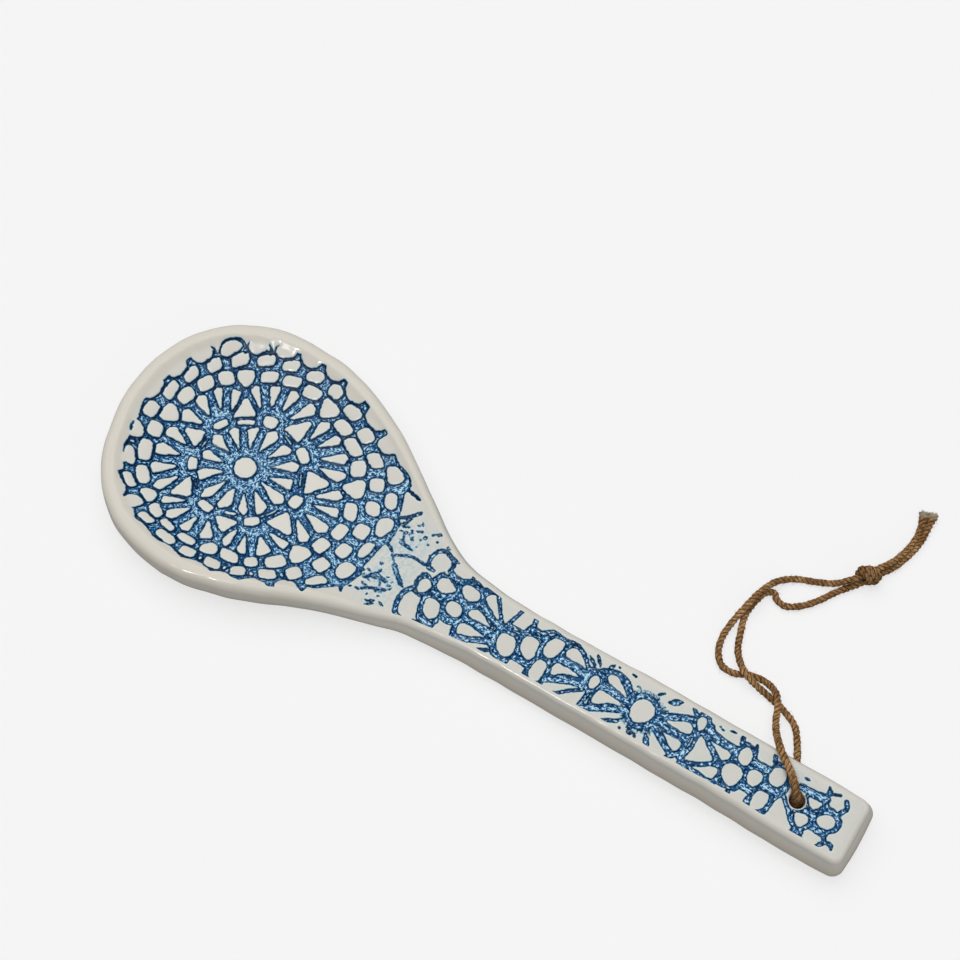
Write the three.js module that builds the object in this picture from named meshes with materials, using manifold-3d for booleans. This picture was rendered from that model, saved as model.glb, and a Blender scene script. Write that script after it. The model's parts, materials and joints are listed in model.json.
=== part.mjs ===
// A one-piece ceramic spoon with a hanging loop of twine, in millimetres.
// +Z is up and +X runs from the bowl's middle along the handle. The flat underside lies on z = 0.
import * as THREE from "three";
import { mergeVertices } from "three/addons/utils/BufferGeometryUtils.js";
import Module from "manifold-3d";

const wasm = await Module();
wasm.setup();

// Bowl
const BOWL_WIDTH = 84.6;
const BOWL_TIP_REACH = 40.3; // from the bowl's middle to its tip
const BOWL_ROUNDNESS = 2.3; // power of the tip's outline: 2 is an ellipse
const BOWL_OFFSET = 5.6; // the hand-cut bowl lies this far to one side of the handle's line
const BOWL_SLANT = 0.055; // and leans further to that side towards its tip, by this share
const OFFSET_FADE_START = 34; // where the bowl's side begins to run back to the handle's line
const OFFSET_FADE_LENGTH = 46;
const RIM_HEIGHT = 13.8;
const BOWL_DEPTH = 8;
const DISH_POWER = 2.5; // how flat the dish's floor is: a higher power has a flatter floor
const RIM_EDGE_RADIUS = 2.2;
const BOWL_FOOT_RADIUS = 6; // rounding under the bowl's outer wall
const BOWL_DRAFT = 0.3;

// Neck: shares of the neck's length, and of the bowl's extra half width there
const NECK_LENGTH = 100;
const NECK_PROFILE = [
  [0, 1],
  [0.08, 0.98],
  [0.16, 0.912],
  [0.25, 0.815],
  [0.36, 0.66],
  [0.47, 0.486],
  [0.6, 0.273],
  [0.69, 0.131],
  [0.77, 0.063],
  [0.88, 0.018],
  [1, 0],
];
const NECK_DIP_START = 18; // where the rim begins to fall towards the handle
const NECK_DIP_LENGTH = 62;

// Handle
const HANDLE_REACH = 208; // from the bowl's middle to the handle's end
const HANDLE_WIDTH = 20; // across the top face at the neck
const HANDLE_FLARE = 0.9; // gain of that width at the end
const HANDLE_THICKNESS = 9.4;
const HANDLE_LIFT = 2.8; // the end's underside clears the table by this
const LIFT_START = 80;
const LIFT_LENGTH = 85;
const HANDLE_EDGE_RADIUS = 1.6;
const HANDLE_FOOT_RADIUS = 1.8;
const HANDLE_DRAFT = 1.9; // each side leans out by this towards the underside
const CORNER_RADIUS = 4;

// Hole for the twine
const HOLE_DIAMETER = 4.6;
const HOLE_FROM_END = 18.4;
const MOUTH_FLARE = 0.7;
const HOLE_SEGMENTS = 20;

// Twine
const TWINE_DIAMETER = 2.1;
const TWINE_SIDES = 8;
const KNOT_DIAMETER = 6;
const KNOT_LENGTH = 6.4;
const KNOT_END_DIAMETER = 4.8;
const KNOT_PLACE = new THREE.Vector3(175.2, 74.1, 3.1);
const KNOT_DIRECTION = new THREE.Vector3(0.525, 0.851, 0);

const TIP_STEPS = 14;
const NECK_STEPS = 20;
const HANDLE_STEPS = 10;
const CORNER_STEPS = 5;
const EDGE_STEPS = 3;
const DISH_SHARES = [0.93, 0.84, 0.74, 0.62, 0.47, 0.3, 0.13, 0];
const UNDERSIDE_SHARES = [0.66, 0.33, 0];

const bowlHalf = BOWL_WIDTH / 2;
const handleHalf = HANDLE_WIDTH / 2;
const holeX = HANDLE_REACH - HOLE_FROM_END;

const lerp = THREE.MathUtils.lerp;
const smoothstep = THREE.MathUtils.smoothstep;

// How far a point along X has gone from bowl to handle, from 0 to 1
const neckShare = (x) => smoothstep(x, NECK_DIP_START, NECK_DIP_START + NECK_DIP_LENGTH);
const liftAt = (x) => HANDLE_LIFT * smoothstep(x, LIFT_START, LIFT_START + LIFT_LENGTH);
const rimAt = (x) => lerp(RIM_HEIGHT, HANDLE_THICKNESS, neckShare(x)) + liftAt(x);
const depthAt = (x) => BOWL_DEPTH * (1 - neckShare(x));
const offsetFade = (x) => 1 - smoothstep(x, OFFSET_FADE_START, OFFSET_FADE_START + OFFSET_FADE_LENGTH);
const offsetAt = (x) => BOWL_OFFSET * offsetFade(x) + BOWL_SLANT * Math.max(0, -x);
const edgeRadiusAt = (x) => lerp(RIM_EDGE_RADIUS, HANDLE_EDGE_RADIUS, neckShare(x));
const footRadiusAt = (x) => lerp(BOWL_FOOT_RADIUS, HANDLE_FOOT_RADIUS, neckShare(x));
const draftAt = (x) => lerp(BOWL_DRAFT, HANDLE_DRAFT, neckShare(x));

function handleHalfAt(x) {
  const share = (x - NECK_LENGTH) / (HANDLE_REACH - NECK_LENGTH);
  return handleHalf + (HANDLE_FLARE / 2) * share;
}

// Stations of one side, from the bowl's tip to the middle of the handle's end: x and half width
function sideStations() {
  const stations = [];
  for (let i = 0; i < TIP_STEPS; i++) {
    const turn = (Math.PI / 2) * (i / TIP_STEPS);
    const x = -BOWL_TIP_REACH * Math.cos(turn) ** (2 / BOWL_ROUNDNESS);
    stations.push([x, bowlHalf * Math.sin(turn) ** (2 / BOWL_ROUNDNESS)]);
  }
  const neck = new THREE.SplineCurve(
    NECK_PROFILE.map(
      ([along, share]) =>
        new THREE.Vector2(along * NECK_LENGTH, lerp(handleHalf, bowlHalf, share)),
    ),
  );
  neck.getSpacedPoints(NECK_STEPS).forEach((p) => stations.push([p.x, p.y]));
  const cornerX = HANDLE_REACH - CORNER_RADIUS;
  for (let i = 1; i <= HANDLE_STEPS; i++) {
    const x = lerp(NECK_LENGTH, cornerX, i / HANDLE_STEPS);
    stations.push([x, handleHalfAt(x)]);
  }
  const cornerY = handleHalfAt(cornerX) - CORNER_RADIUS;
  for (let i = 1; i <= CORNER_STEPS; i++) {
    const turn = (Math.PI / 2) * (i / CORNER_STEPS);
    const x = cornerX + CORNER_RADIUS * Math.sin(turn);
    stations.push([x, cornerY + CORNER_RADIUS * Math.cos(turn)]);
  }
  stations.push([HANDLE_REACH, cornerY / 2], [HANDLE_REACH, 0]);
  return stations;
}

// The closed outline, each point with the spine point that its cross-section runs to
function outlineRays() {
  const side = sideStations();
  const spineEnd = HANDLE_REACH - handleHalf;
  const ray = ([x, half], sign) => {
    const spineX = THREE.MathUtils.clamp(x, 0, spineEnd);
    const spine = new THREE.Vector2(spineX, offsetAt(spineX));
    const edge = new THREE.Vector2(x, offsetAt(x) + sign * half);
    return { x, spine, edge, reach: spine.distanceTo(edge) };
  };
  const far = side.map((station) => ray(station, 1));
  const near = side.slice(1, -1).map((station) => ray(station, -1));
  return [...far, ...near.reverse()];
}

// One cross-section from the spine's top over the rim and round to the spine's underside,
// as pairs of inset from the outline and height
function sectionOf({ x, reach }) {
  const edge = edgeRadiusAt(x);
  const foot = footRadiusAt(x);
  const draft = draftAt(x);
  const rim = rimAt(x);
  const depth = depthAt(x);
  const base = liftAt(x);
  const section = [];
  for (const share of [...DISH_SHARES].reverse()) {
    section.push([reach - share * (reach - edge), rim - depth * (1 - share ** DISH_POWER)]);
  }
  for (let i = 0; i <= EDGE_STEPS; i++) {
    const turn = (Math.PI / 2) * (i / EDGE_STEPS);
    section.push([edge * (1 - Math.sin(turn)), rim - edge * (1 - Math.cos(turn))]);
  }
  for (let i = 0; i <= EDGE_STEPS; i++) {
    const turn = (Math.PI / 2) * (i / EDGE_STEPS);
    section.push([foot * (1 - Math.cos(turn)) - draft, base + foot * (1 - Math.sin(turn))]);
  }
  for (const share of UNDERSIDE_SHARES) {
    section.push([reach - share * (reach - foot + draft), base]);
  }
  return section;
}

// Skin of triangles between neighbouring cross-sections, with the folded ones on the spine left out
function spoonSkin() {
  const sections = outlineRays().map((ray) =>
    sectionOf(ray).map(([inset, z]) => {
      const place = ray.edge.clone().lerp(ray.spine, inset / ray.reach);
      return new THREE.Vector3(place.x, place.y, z);
    }),
  );
  const corners = [];
  sections.forEach((here, i) => {
    const next = sections[(i + 1) % sections.length];
    for (let j = 0; j + 1 < here.length; j++) {
      corners.push(here[j], here[j + 1], next[j + 1]);
      corners.push(here[j], next[j + 1], next[j]);
    }
  });
  const skin = mergeVertices(new THREE.BufferGeometry().setFromPoints(corners), 1e-4);
  const faces = [];
  for (let i = 0; i < skin.index.count; i += 3) {
    const [a, b, c] = skin.index.array.slice(i, i + 3);
    if (a !== b && b !== c && c !== a) faces.push(a, b, c);
  }
  return skin.setIndex(faces);
}

// A closed geometry as a manifold-3d solid, turned to face out
function solidOf(geometry) {
  const bare = new THREE.BufferGeometry().setAttribute("position", geometry.getAttribute("position"));
  const merged = mergeVertices(geometry.index ? bare.setIndex(geometry.index) : bare, 1e-4);
  const make = (triVerts) =>
    new wasm.Manifold(
      new wasm.Mesh({
        numProp: 3,
        vertProperties: merged.getAttribute("position").array,
        triVerts: new Uint32Array(triVerts),
      }),
    );
  const solid = make(merged.index.array);
  return solid.volume() > 0 ? solid : make([...merged.index.array].reverse());
}

function geometryOf(solid) {
  const { vertProperties, triVerts } = solid.getMesh();
  const geometry = new THREE.BufferGeometry();
  geometry.setAttribute("position", new THREE.BufferAttribute(vertProperties, 3));
  geometry.setIndex(new THREE.BufferAttribute(triVerts, 1));
  geometry.computeVertexNormals();
  return geometry;
}

// The drill for the twine's hole, with a softened mouth at each face of the handle
function holeCutter() {
  const radius = HOLE_DIAMETER / 2;
  const mouth = radius + MOUTH_FLARE;
  const bottom = liftAt(holeX);
  const top = rimAt(holeX);
  const profile = [
    [0, bottom - 1],
    [mouth, bottom - 1],
    [mouth, bottom],
    [radius + 0.3 * MOUTH_FLARE, bottom + 0.3 * MOUTH_FLARE],
    [radius, bottom + MOUTH_FLARE],
    [radius, top - MOUTH_FLARE],
    [radius + 0.3 * MOUTH_FLARE, top - 0.3 * MOUTH_FLARE],
    [mouth, top],
    [mouth, top + 1],
    [0, top + 1],
  ].map(([r, z]) => new THREE.Vector2(r, z));
  return new THREE.LatheGeometry(profile, HOLE_SEGMENTS).rotateX(Math.PI / 2).translate(holeX, 0, 0);
}

function spoonBody() {
  return geometryOf(solidOf(spoonSkin()).subtract(solidOf(holeCutter())));
}

// A stretch of twine along hand-chosen points
function twineStretch(points, steps) {
  const path = new THREE.CatmullRomCurve3(points.map((p) => new THREE.Vector3(...p)));
  const section = new THREE.Shape();
  for (let i = 0; i < TWINE_SIDES; i++) {
    const turn = (2 * Math.PI * i) / TWINE_SIDES;
    const [x, y] = [Math.cos(turn), Math.sin(turn)].map((v) => (v * TWINE_DIAMETER) / 2);
    if (i === 0) section.moveTo(x, y);
    else section.lineTo(x, y);
  }
  return new THREE.ExtrudeGeometry(section, { steps, extrudePath: path, bevelEnabled: false });
}

// The knot's outer shape: a round barrel with flat ends where the strands go in
function twineKnot() {
  const radius = KNOT_DIAMETER / 2;
  const end = KNOT_END_DIAMETER / 2;
  const half = KNOT_LENGTH / 2;
  const profile = [
    [0, -half],
    [end, -half],
    [lerp(end, radius, 0.65), -0.72 * half],
    [radius, -0.25 * half],
    [radius, 0.25 * half],
    [lerp(end, radius, 0.65), 0.72 * half],
    [end, half],
    [0, half],
  ].map(([r, along]) => new THREE.Vector2(r, along));
  return new THREE.LatheGeometry(profile, 16);
}

// Out of the hole, over the handle's far edge, round the outer side of the loop to the knot
const UPPER_STRAND = [
  [holeX, 0, 7.6],
  [holeX, 0, 10.6],
  [189.3, 0.3, 12.4],
  [188, 1.7, 13.6],
  [185, 5, 13.6],
  [181.2, 8, 13.6],
  [178.9, 10, 13.3],
  [176.9, 12.9, 10.4],
  [175, 16.3, 6.6],
  [173.3, 20, 4.3],
  [171.5, 24.6, 4],
  [169.2, 27.6, 3.1],
  [165.5, 29.4, 1.5],
  [160.6, 29, 1.2],
  [156.2, 27, 1.2],
  [152.2, 27.2, 1.2],
  [149.3, 30.3, 1.2],
  [148, 35.2, 1.2],
  [148.3, 40.2, 2.2],
  [149.5, 46.2, 3.8],
  [150.9, 52.2, 3.8],
  [153.4, 58.4, 2.2],
  [157.6, 62.3, 1.2],
  [163, 64.6, 1.2],
  [168.2, 66.9, 2.3],
  [172.6, 70.9, 3.9],
];
// Down the hole, under the handle, round the inner side of the loop to the knot
const LOWER_STRAND = [
  [holeX, 0, 7.3],
  [holeX, 0, 4.4],
  [189.4, 0.5, 2],
  [188.6, 2.4, 1.2],
  [186.6, 7.4, 1.2],
  [184.1, 13.4, 1.2],
  [181.4, 18.5, 1.2],
  [178.4, 22.4, 1.2],
  [173.6, 24.7, 1.2],
  [168.4, 26.1, 1.2],
  [163.6, 26.8, 2.2],
  [159.6, 27.6, 3.8],
  [156.3, 30.3, 2.8],
  [153.6, 34.2, 1.2],
  [151.8, 39, 1.2],
  [150.4, 44.2, 1.2],
  [150.7, 49.4, 1.2],
  [152.2, 53.9, 1.2],
  [154.2, 55, 1.2],
  [155.8, 53.6, 1.2],
  [158.6, 53, 1.2],
  [162.6, 55.4, 1.2],
  [166.2, 59.6, 1.2],
  [169.4, 64.8, 1.2],
  [173.9, 70.8, 1.3],
];
const OUTER_TAIL = [
  [176.4, 77.8, 3.3],
  [178.4, 82.2, 2.5],
  [180, 86.8, 2.2],
  [180.8, 91, 1.6],
  [180.8, 95.2, 1.2],
  [179.7, 100.9, 1.2],
];
const INNER_TAIL = [
  [177.8, 76.7, 1.3],
  [180.4, 80.4, 1.2],
  [182.2, 84.8, 1.2],
  [183.3, 89.4, 1.2],
  [183.7, 94, 1.2],
  [182.5, 102.3, 1.2],
];

const glaze = new THREE.MeshStandardMaterial({ color: 0xcfcdc6, roughness: 0.25, metalness: 0 });
const jute = new THREE.MeshStandardMaterial({ color: 0x6b4a2c, roughness: 0.95, metalness: 0 });

function named(name, geometry, material) {
  const mesh = new THREE.Mesh(geometry, material);
  mesh.name = name;
  return mesh;
}

const loop = new THREE.Group();
loop.add(named("twine_upper_strand", twineStretch(UPPER_STRAND, 36), jute));
loop.add(named("twine_lower_strand", twineStretch(LOWER_STRAND, 32), jute));
loop.add(named("twine_outer_tail", twineStretch(OUTER_TAIL, 6), jute));
loop.add(named("twine_inner_tail", twineStretch(INNER_TAIL, 6), jute));
const knot = named("twine_knot", twineKnot(), jute);
knot.position.copy(KNOT_PLACE);
knot.quaternion.setFromUnitVectors(new THREE.Vector3(0, 1, 0), KNOT_DIRECTION.clone().normalize());
loop.add(knot);

const spoon = new THREE.Group();
spoon.add(named("spoon_body", spoonBody(), glaze), loop);

export default spoon;
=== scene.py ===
"""A glazed clay spoon with a pressed lace pattern and a loop of jute twine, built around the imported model.

Lengths inside the shape functions are in millimetres; meshes are made in metres.
"""
import json
import math

import bmesh
import bpy
import numpy as np
from bpy.props import FloatProperty, FloatVectorProperty, IntProperty, PointerProperty
from mathutils import Matrix, Vector
from mathutils.geometry import delaunay_2d_cdt

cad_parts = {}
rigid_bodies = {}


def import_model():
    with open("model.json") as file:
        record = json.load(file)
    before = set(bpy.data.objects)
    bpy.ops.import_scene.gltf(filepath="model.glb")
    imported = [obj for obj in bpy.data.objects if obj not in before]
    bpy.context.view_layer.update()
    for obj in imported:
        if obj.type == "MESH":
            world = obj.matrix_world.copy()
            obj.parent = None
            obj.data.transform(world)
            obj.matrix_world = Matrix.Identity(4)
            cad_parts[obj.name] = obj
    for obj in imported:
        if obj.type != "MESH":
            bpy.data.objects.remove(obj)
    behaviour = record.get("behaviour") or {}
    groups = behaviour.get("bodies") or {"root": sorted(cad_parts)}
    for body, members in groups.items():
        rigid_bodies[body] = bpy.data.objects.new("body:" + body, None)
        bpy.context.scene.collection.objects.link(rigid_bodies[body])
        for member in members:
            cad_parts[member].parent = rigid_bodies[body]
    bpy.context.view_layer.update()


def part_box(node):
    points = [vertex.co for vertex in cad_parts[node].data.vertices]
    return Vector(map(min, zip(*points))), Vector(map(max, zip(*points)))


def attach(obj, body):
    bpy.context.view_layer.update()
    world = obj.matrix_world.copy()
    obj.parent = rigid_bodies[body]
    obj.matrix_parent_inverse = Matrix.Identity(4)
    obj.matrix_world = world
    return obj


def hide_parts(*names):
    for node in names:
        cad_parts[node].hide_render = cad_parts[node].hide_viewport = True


bl_info = {
    "name": "Lace Spoon",
    "version": (1, 0, 0),
    "blender": (4, 5, 0),
    "location": "3D View > Sidebar > Spoon",
    "description": "Builds a glazed spoon with a pressed lace pattern and its hanging loop of twine",
    "category": "Object",
}

for spare in list(bpy.data.objects):
    bpy.data.objects.remove(spare)
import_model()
BODY_LOW, BODY_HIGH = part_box("spoon_body")
MM = 0.001
FAR = 99.0

# Bowl and neck
BOWL_ROUNDNESS = 2.3
BOWL_SLANT = 0.055
OFFSET_FADE_START = 34
OFFSET_FADE_LENGTH = 46
DISH_POWER = 2.5
BOWL_DRAFT = 0.3
NECK_LENGTH = 100
NECK_PROFILE = [
    (0, 1), (0.08, 0.98), (0.16, 0.912), (0.25, 0.815), (0.36, 0.66), (0.47, 0.486),
    (0.6, 0.273), (0.69, 0.131), (0.77, 0.063), (0.88, 0.018), (1, 0),
]
NECK_DIP_START = 18
NECK_DIP_LENGTH = 62
FOOT_FADE_START = 34
FOOT_FADE_LENGTH = 70
LIP_STEP = 0.3
RIM_SHARE = 0.975
# How far the hand-cut edge of the bowl strays from the drawn one: angle about its middle, millimetres
EDGE_STRAY = [
    (0, 0.25), (35, 0.25), (55, 0.35), (65, 0.5), (75, 0.3), (85, -0.1), (95, -0.1), (104, -0.3),
    (114, -0.5), (122, -0.65), (132, -0.45), (141, 0.05), (150, 0.7), (159, 1.0), (169, 1.5),
    (180, 1.4), (190, 0.8), (201, 0.1), (215, 0), (230, -0.3), (265, -0.4),
    (283, -0.3), (300, 0.1), (330, 0.3),
]
STRAY_FADE_START = 26
STRAY_FADE_LENGTH = 30

# Handle
HANDLE_FLARE = 0.9
HANDLE_DRAFT = 1.9
LIFT_START = 80
LIFT_LENGTH = 85
CORNER_RADIUS = 2.8
HOLE_FROM_END = 18.4
MOUTH_FLARE = 0.35

# Twine routes, along the solids' own, with the tails laid side by side
UPPER_STRAND = [
    (189.6, 0, 7.6), (189.6, 0, 10.6), (189.3, 0.3, 12.4), (188, 1.7, 13.6), (185, 5, 13.6),
    (181.2, 8, 13.6), (178.9, 10, 13.3), (176.9, 12.9, 10.4), (175, 16.3, 6.6), (173.3, 20, 4.3),
    (171.5, 24.6, 4), (169.2, 27.6, 3.1), (165.5, 29.4, 1.5), (160.6, 29, 1.2), (156.2, 27, 1.2),
    (152.2, 27.2, 1.2), (149.3, 30.3, 1.2), (148, 35.2, 1.2), (148.3, 40.2, 2.2), (149.5, 46.2, 3.8),
    (150.9, 52.2, 3.8), (153.4, 58.4, 2.2), (157.6, 62.3, 1.2), (163, 64.6, 1.2), (168.2, 66.9, 2.3),
    (172.6, 70.9, 3.9),
]
LOWER_STRAND = [
    (189.6, 0, 7.3), (189.6, 0, 4.4), (189.4, 0.5, 2), (188.6, 2.4, 1.2), (186.6, 7.4, 1.2),
    (184.1, 13.4, 1.2), (181.4, 18.5, 1.2), (178.4, 22.4, 1.2), (173.6, 24.7, 1.2), (168.4, 26.1, 1.2),
    (163.6, 26.8, 2.2), (159.6, 27.6, 3.8), (156.3, 30.3, 2.8), (153.6, 34.2, 1.2), (151.8, 39, 1.2),
    (150.4, 44.2, 1.2), (150.7, 49.4, 1.2), (152.2, 53.9, 1.2), (154.2, 55, 1.2), (155.8, 53.6, 1.2),
    (158.6, 53, 1.2), (162.6, 55.4, 1.2), (166.2, 59.6, 1.2), (169.4, 64.8, 1.2), (173.9, 70.8, 1.3),
]
OUTER_TAIL = [
    (176.8, 77.4, 3.3), (179.15, 81.55, 2.6), (180.75, 86.35, 2.2), (181.5, 90.8, 1.7), (181.4, 95.2, 1.2),
    (180.1, 101.1, 1.2),
]
INNER_TAIL = [
    (177.7, 76.8, 1.3), (180.05, 80.6, 1.2), (181.75, 85.1, 1.2), (182.85, 89.6, 1.2), (183.2, 94, 1.2),
    (182.5, 102.1, 1.2),
]
# The two cords of the loop: name, route, the nodes that each stands for, seed of its fibres
CORDS = [
    ("twine_upper", UPPER_STRAND + OUTER_TAIL, ("twine_upper_strand", "twine_outer_tail"), 21),
    ("twine_lower", LOWER_STRAND + INNER_TAIL, ("twine_lower_strand", "twine_inner_tail"), 22),
]
# Along each cord from the hole: how far it swells to fill the hole, and how much painted shade darkens it
# there
HOLE_SWELL = [(0, 1.75), (4.2, 1.75), (5.6, 1.5), (8, 1.2), (14, 1.12), (26, 1.0)]
HOLE_SHADE = [(0, 0.85), (4.2, 0.8), (6.2, 0.6), (8.5, 0.25), (11, 0)]
END_FLARE = 0.7
ROUTE_STEPS = 12
KNOT_PLACE = (175.0, 73.5, 3.6)
KNOT_DIRECTION = (0.525, 0.851, 0)
KNOT_LEAN = 0.45
KNOT_POINTS = 22
KNOT_SEED = 23
# Knot: painted shade between its plies, and all of it darkened by a fifth towards the dark fibre
KNOT_CREASE = 0.95
KNOT_SHADE = [(0, 0.2), (FAR, 0.2)]
# Wraps of the knot: place along it and radius
KNOT_WRAPS = [(-1.5, 2.0), (1.5, 2.0), (0, 2.65)]

# Filling of flat faces: corners of a cell, slack at the hole's edge, least distance of points
CELL_CORNERS = ((0, 0), (1, 0), (1, 1), (0, 1))
HOLE_SLACK = 0.98
STITCH_TOLERANCE = 1e-6
# Detail and roughness of the soft blotches
MOTTLE_GRAIN = (3, 0.5)
# Values that the spoon's mesh has on each point for its glaze; among them masks of painted light on the rim
# and in the bowl and of painted shade low on the walls
GLAZE_VALUES = ("lace", "wash", "blur", "bare", "pool", "wall")

# Stage, in metres
LOOK_AT = Vector((0.0615, 0.04063, 0))
SENSOR_WIDTH_MM = 36
FLOOR_SIZE = 6
FLOOR_MIDDLE = (0.08, 0.03, 0)
LAMP_HEIGHT = 1.0
LAMP_DISK = 0.14
FLOOR_PATCHES = (6, 90, 0.3)
FLOOR_PATCH_TONE = 0.99
FLOOR_GLOW_UNSEEN = 0.2
SKY_SEEN = 0.9
SKY_MIRRORED = 0.15
# Lamps: name, kind, which of the stage's strengths, share of it, how far ahead and to the right
LAMPS = [
    ("key_light", "SUN", "key", 1, 0.28, -0.15),
    ("front_light", "SUN", "front", 1, -0.95, 0.8),
    ("glint_light", "AREA", "glint", 1, -0.62, -0.72),
    ("bowl_light", "AREA", "glint", 0.16, -0.33, -0.35),
]

# The crocheted mat that was pressed into the bowl, laid out about its middle in degrees and
# millimetres. Its ground reaches out to an edge, and the cells between its threads stay white.
LACE_MIDDLE = (1.2, 4.6)
MAT_EDGE = [
    (0, 49.2), (2, 50.2), (9.5, 50.7), (11.5, 49.3), (20, 49), (22.5, 50.5), (25, 50), (28, 48.3),
    (30, 46.3), (32.5, 45.4), (34.3, 44.9), (38, 43.4), (43, 43.2), (50, 41.2), (57, 40.3), (65, 39.2),
    (72, 39), (79, 38.2), (85, 38.3), (91, 38), (98, 37.9), (104, 38), (110, 36.7), (113, 36.6), (118, 38),
    (123.2, 38), (124.2, 39.3), (125.3, 39.85), (127.5, 40.25), (130.2, 40.25), (132.8, 39.95),
    (134.8, 39), (136.2, 37.4), (136.8, 36.4), (137.4, 37.2), (138.6, 37.4), (144, 38.6), (150, 38),
    (157, 37), (164, 36.4), (172, 36.2), (180, 36.2), (184, 35.5), (188, 34.7), (195, 35), (200, 34.7),
    (203, 35), (205, 35.3), (208, 34.7), (214, 35), (217.5, 35), (219, 36.5), (221, 36.4), (227, 35),
    (230, 35.4), (231.5, 36.3), (234, 36.2), (240, 35), (243, 35.5), (245, 36), (248, 35.1), (251.5, 34.6),
    (255, 34.8), (258, 35.2), (261.5, 35.1), (264, 34.5), (268, 34.1), (270, 34.5), (275, 35.8),
    (279, 35.1), (282, 34.7), (285, 34.9), (288, 36.1), (291, 37.3), (294, 36.8), (297.5, 36.8),
    (300, 38.1), (303, 39.3), (307, 38.8), (310, 38.7), (312, 39.9), (314, 41), (315.2, 43), (317, 43),
    (318, 42.5), (322, 43.5), (325.5, 46.3), (327.3, 46.3), (329, 45.3), (331, 46.7), (335, 48), (338, 49),
    (340, 50.2), (347.5, 50.2), (349.5, 49), (351, 48.7), (358, 48.9),
]
# Rounded cells: angle, half angle, radius, half height, lean of radius by angle, point towards the middle
MAT_PEBBLES = [
    (-3.6, 6.8, 19.1, 1.9), (44.4, 8.8, 17.6, 1.7, -0.04), (96.6, 8.2, 16.4, 1.9), (151.4, 8.6, 16.2, 1.2),
    (208.4, 8, 15.7, 1.5), (262.1, 8.5, 17.1, 1.45), (311.3, 7.7, 18.2, 1.5),
    (17.9, 7.6, 17.25, 0.28, -0.05), (67.9, 7.2, 15.45, 0.3), (123.6, 10.7, 15, 0.85),
    (180, 6.5, 14.8, 0.28), (233, 6, 15.4, 0.2, 0.05), (288.9, 7, 15.7, 0.5), (331.8, 6.5, 17.3, 0.3),
    (-4.3, 4.35, 35.9, 2.1), (7.4, 4.6, 35.2, 2.2, -0.17), (19.4, 5, 34.6, 2.5, 0, 2.2),
    (30, 4.4, 34, 2.5), (41.8, 5.6, 32.8, 2.1, -0.19), (54, 5.4, 31.5, 2.1, -0.16),
    (67.7, 6.3, 31, 2.1, 0, 1.8), (81.9, 5.6, 30.3, 1.95, -0.1), (95.9, 5.6, 30.1, 1.75, -0.1),
    (109.6, 5.5, 29.5, 1.8, -0.09), (123.6, 5.4, 29.1, 2.1, 0, 1.2), (135.4, 4.7, 29.3, 2.2, 0.04),
    (147.9, 5.1, 29.6, 2.1, -0.03), (161.6, 5.5, 29.3, 2.1, -0.03), (176.5, 6, 28.7, 2.2, 0, 1.3),
    (190, 5, 29.2, 2.2, -0.06), (204.4, 6.7, 29.8, 2.1), (220, 6, 29.95, 1.95),
    (233.3, 4.8, 29.6, 1.9, -0.06, 0.7), (244.6, 4.9, 29.6, 1.7, 0.06), (256.4, 5, 29.65, 1.35),
    (270.5, 6, 29.5, 1.4), (284.9, 5.2, 29.5, 1.9, -0.05, 0.7), (296.9, 5.4, 30.5, 2.2, 0.19),
    (308.7, 3.6, 32.5, 1.85, 0.05), (320.7, 5.4, 33.6, 2.3, 0.04), (333.3, 5.5, 33.9, 2.5, 0, 1.3),
    (344.7, 4.2, 35, 2.3), (0.9, 3.4, 41.3, 2.45), (12, 3.1, 41, 2.4, -0.2), (22.4, 3, 40.3, 2.4, -0.08),
    (33.1, 3.6, 39.1, 2.2, -0.25), (45.2, 3.9, 37.1, 2.3, -0.16), (58.5, 4.7, 35.7, 2.1, -0.13),
    (72.4, 3.9, 35, 2.1), (85.6, 4.5, 34.4, 1.8, -0.17), (99.8, 4.5, 34.2, 1.75, -0.12),
    (113, 4.8, 34.1, 1.75, -0.09), (126.6, 4.9, 34.1, 2, -0.12), (140, 4.1, 33.9, 2, -0.06),
    (152.9, 4.4, 33.8, 1.85, -0.13), (166.2, 5.2, 33.1, 1.75, -0.11), (181.1, 4.7, 33.2, 2),
    (223, 4.6, 33.9, 1.5, -0.14), (246.8, 4.3, 33.2, 1.5, -0.16), (261.6, 6, 32.8, 1.65),
    (275.9, 4.4, 33.1, 1.75), (289.9, 4.4, 34.3, 1.95, 0.15), (302.7, 3.7, 36, 1.85),
    (315.4, 3.9, 37.6, 2.05, 0.12), (326.6, 3.4, 39.3, 2.4), (338.6, 3.5, 40.3, 2.45),
    (349.8, 3.5, 41, 2.2), (202, 0.7, 33.8, 0.8), (283.2, 0.9, 33.6, 0.6), (296.4, 0.8, 35.2, 0.7),
    (308.6, 0.8, 37, 0.7), (321.4, 0.6, 38.8, 0.8),
]
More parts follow.
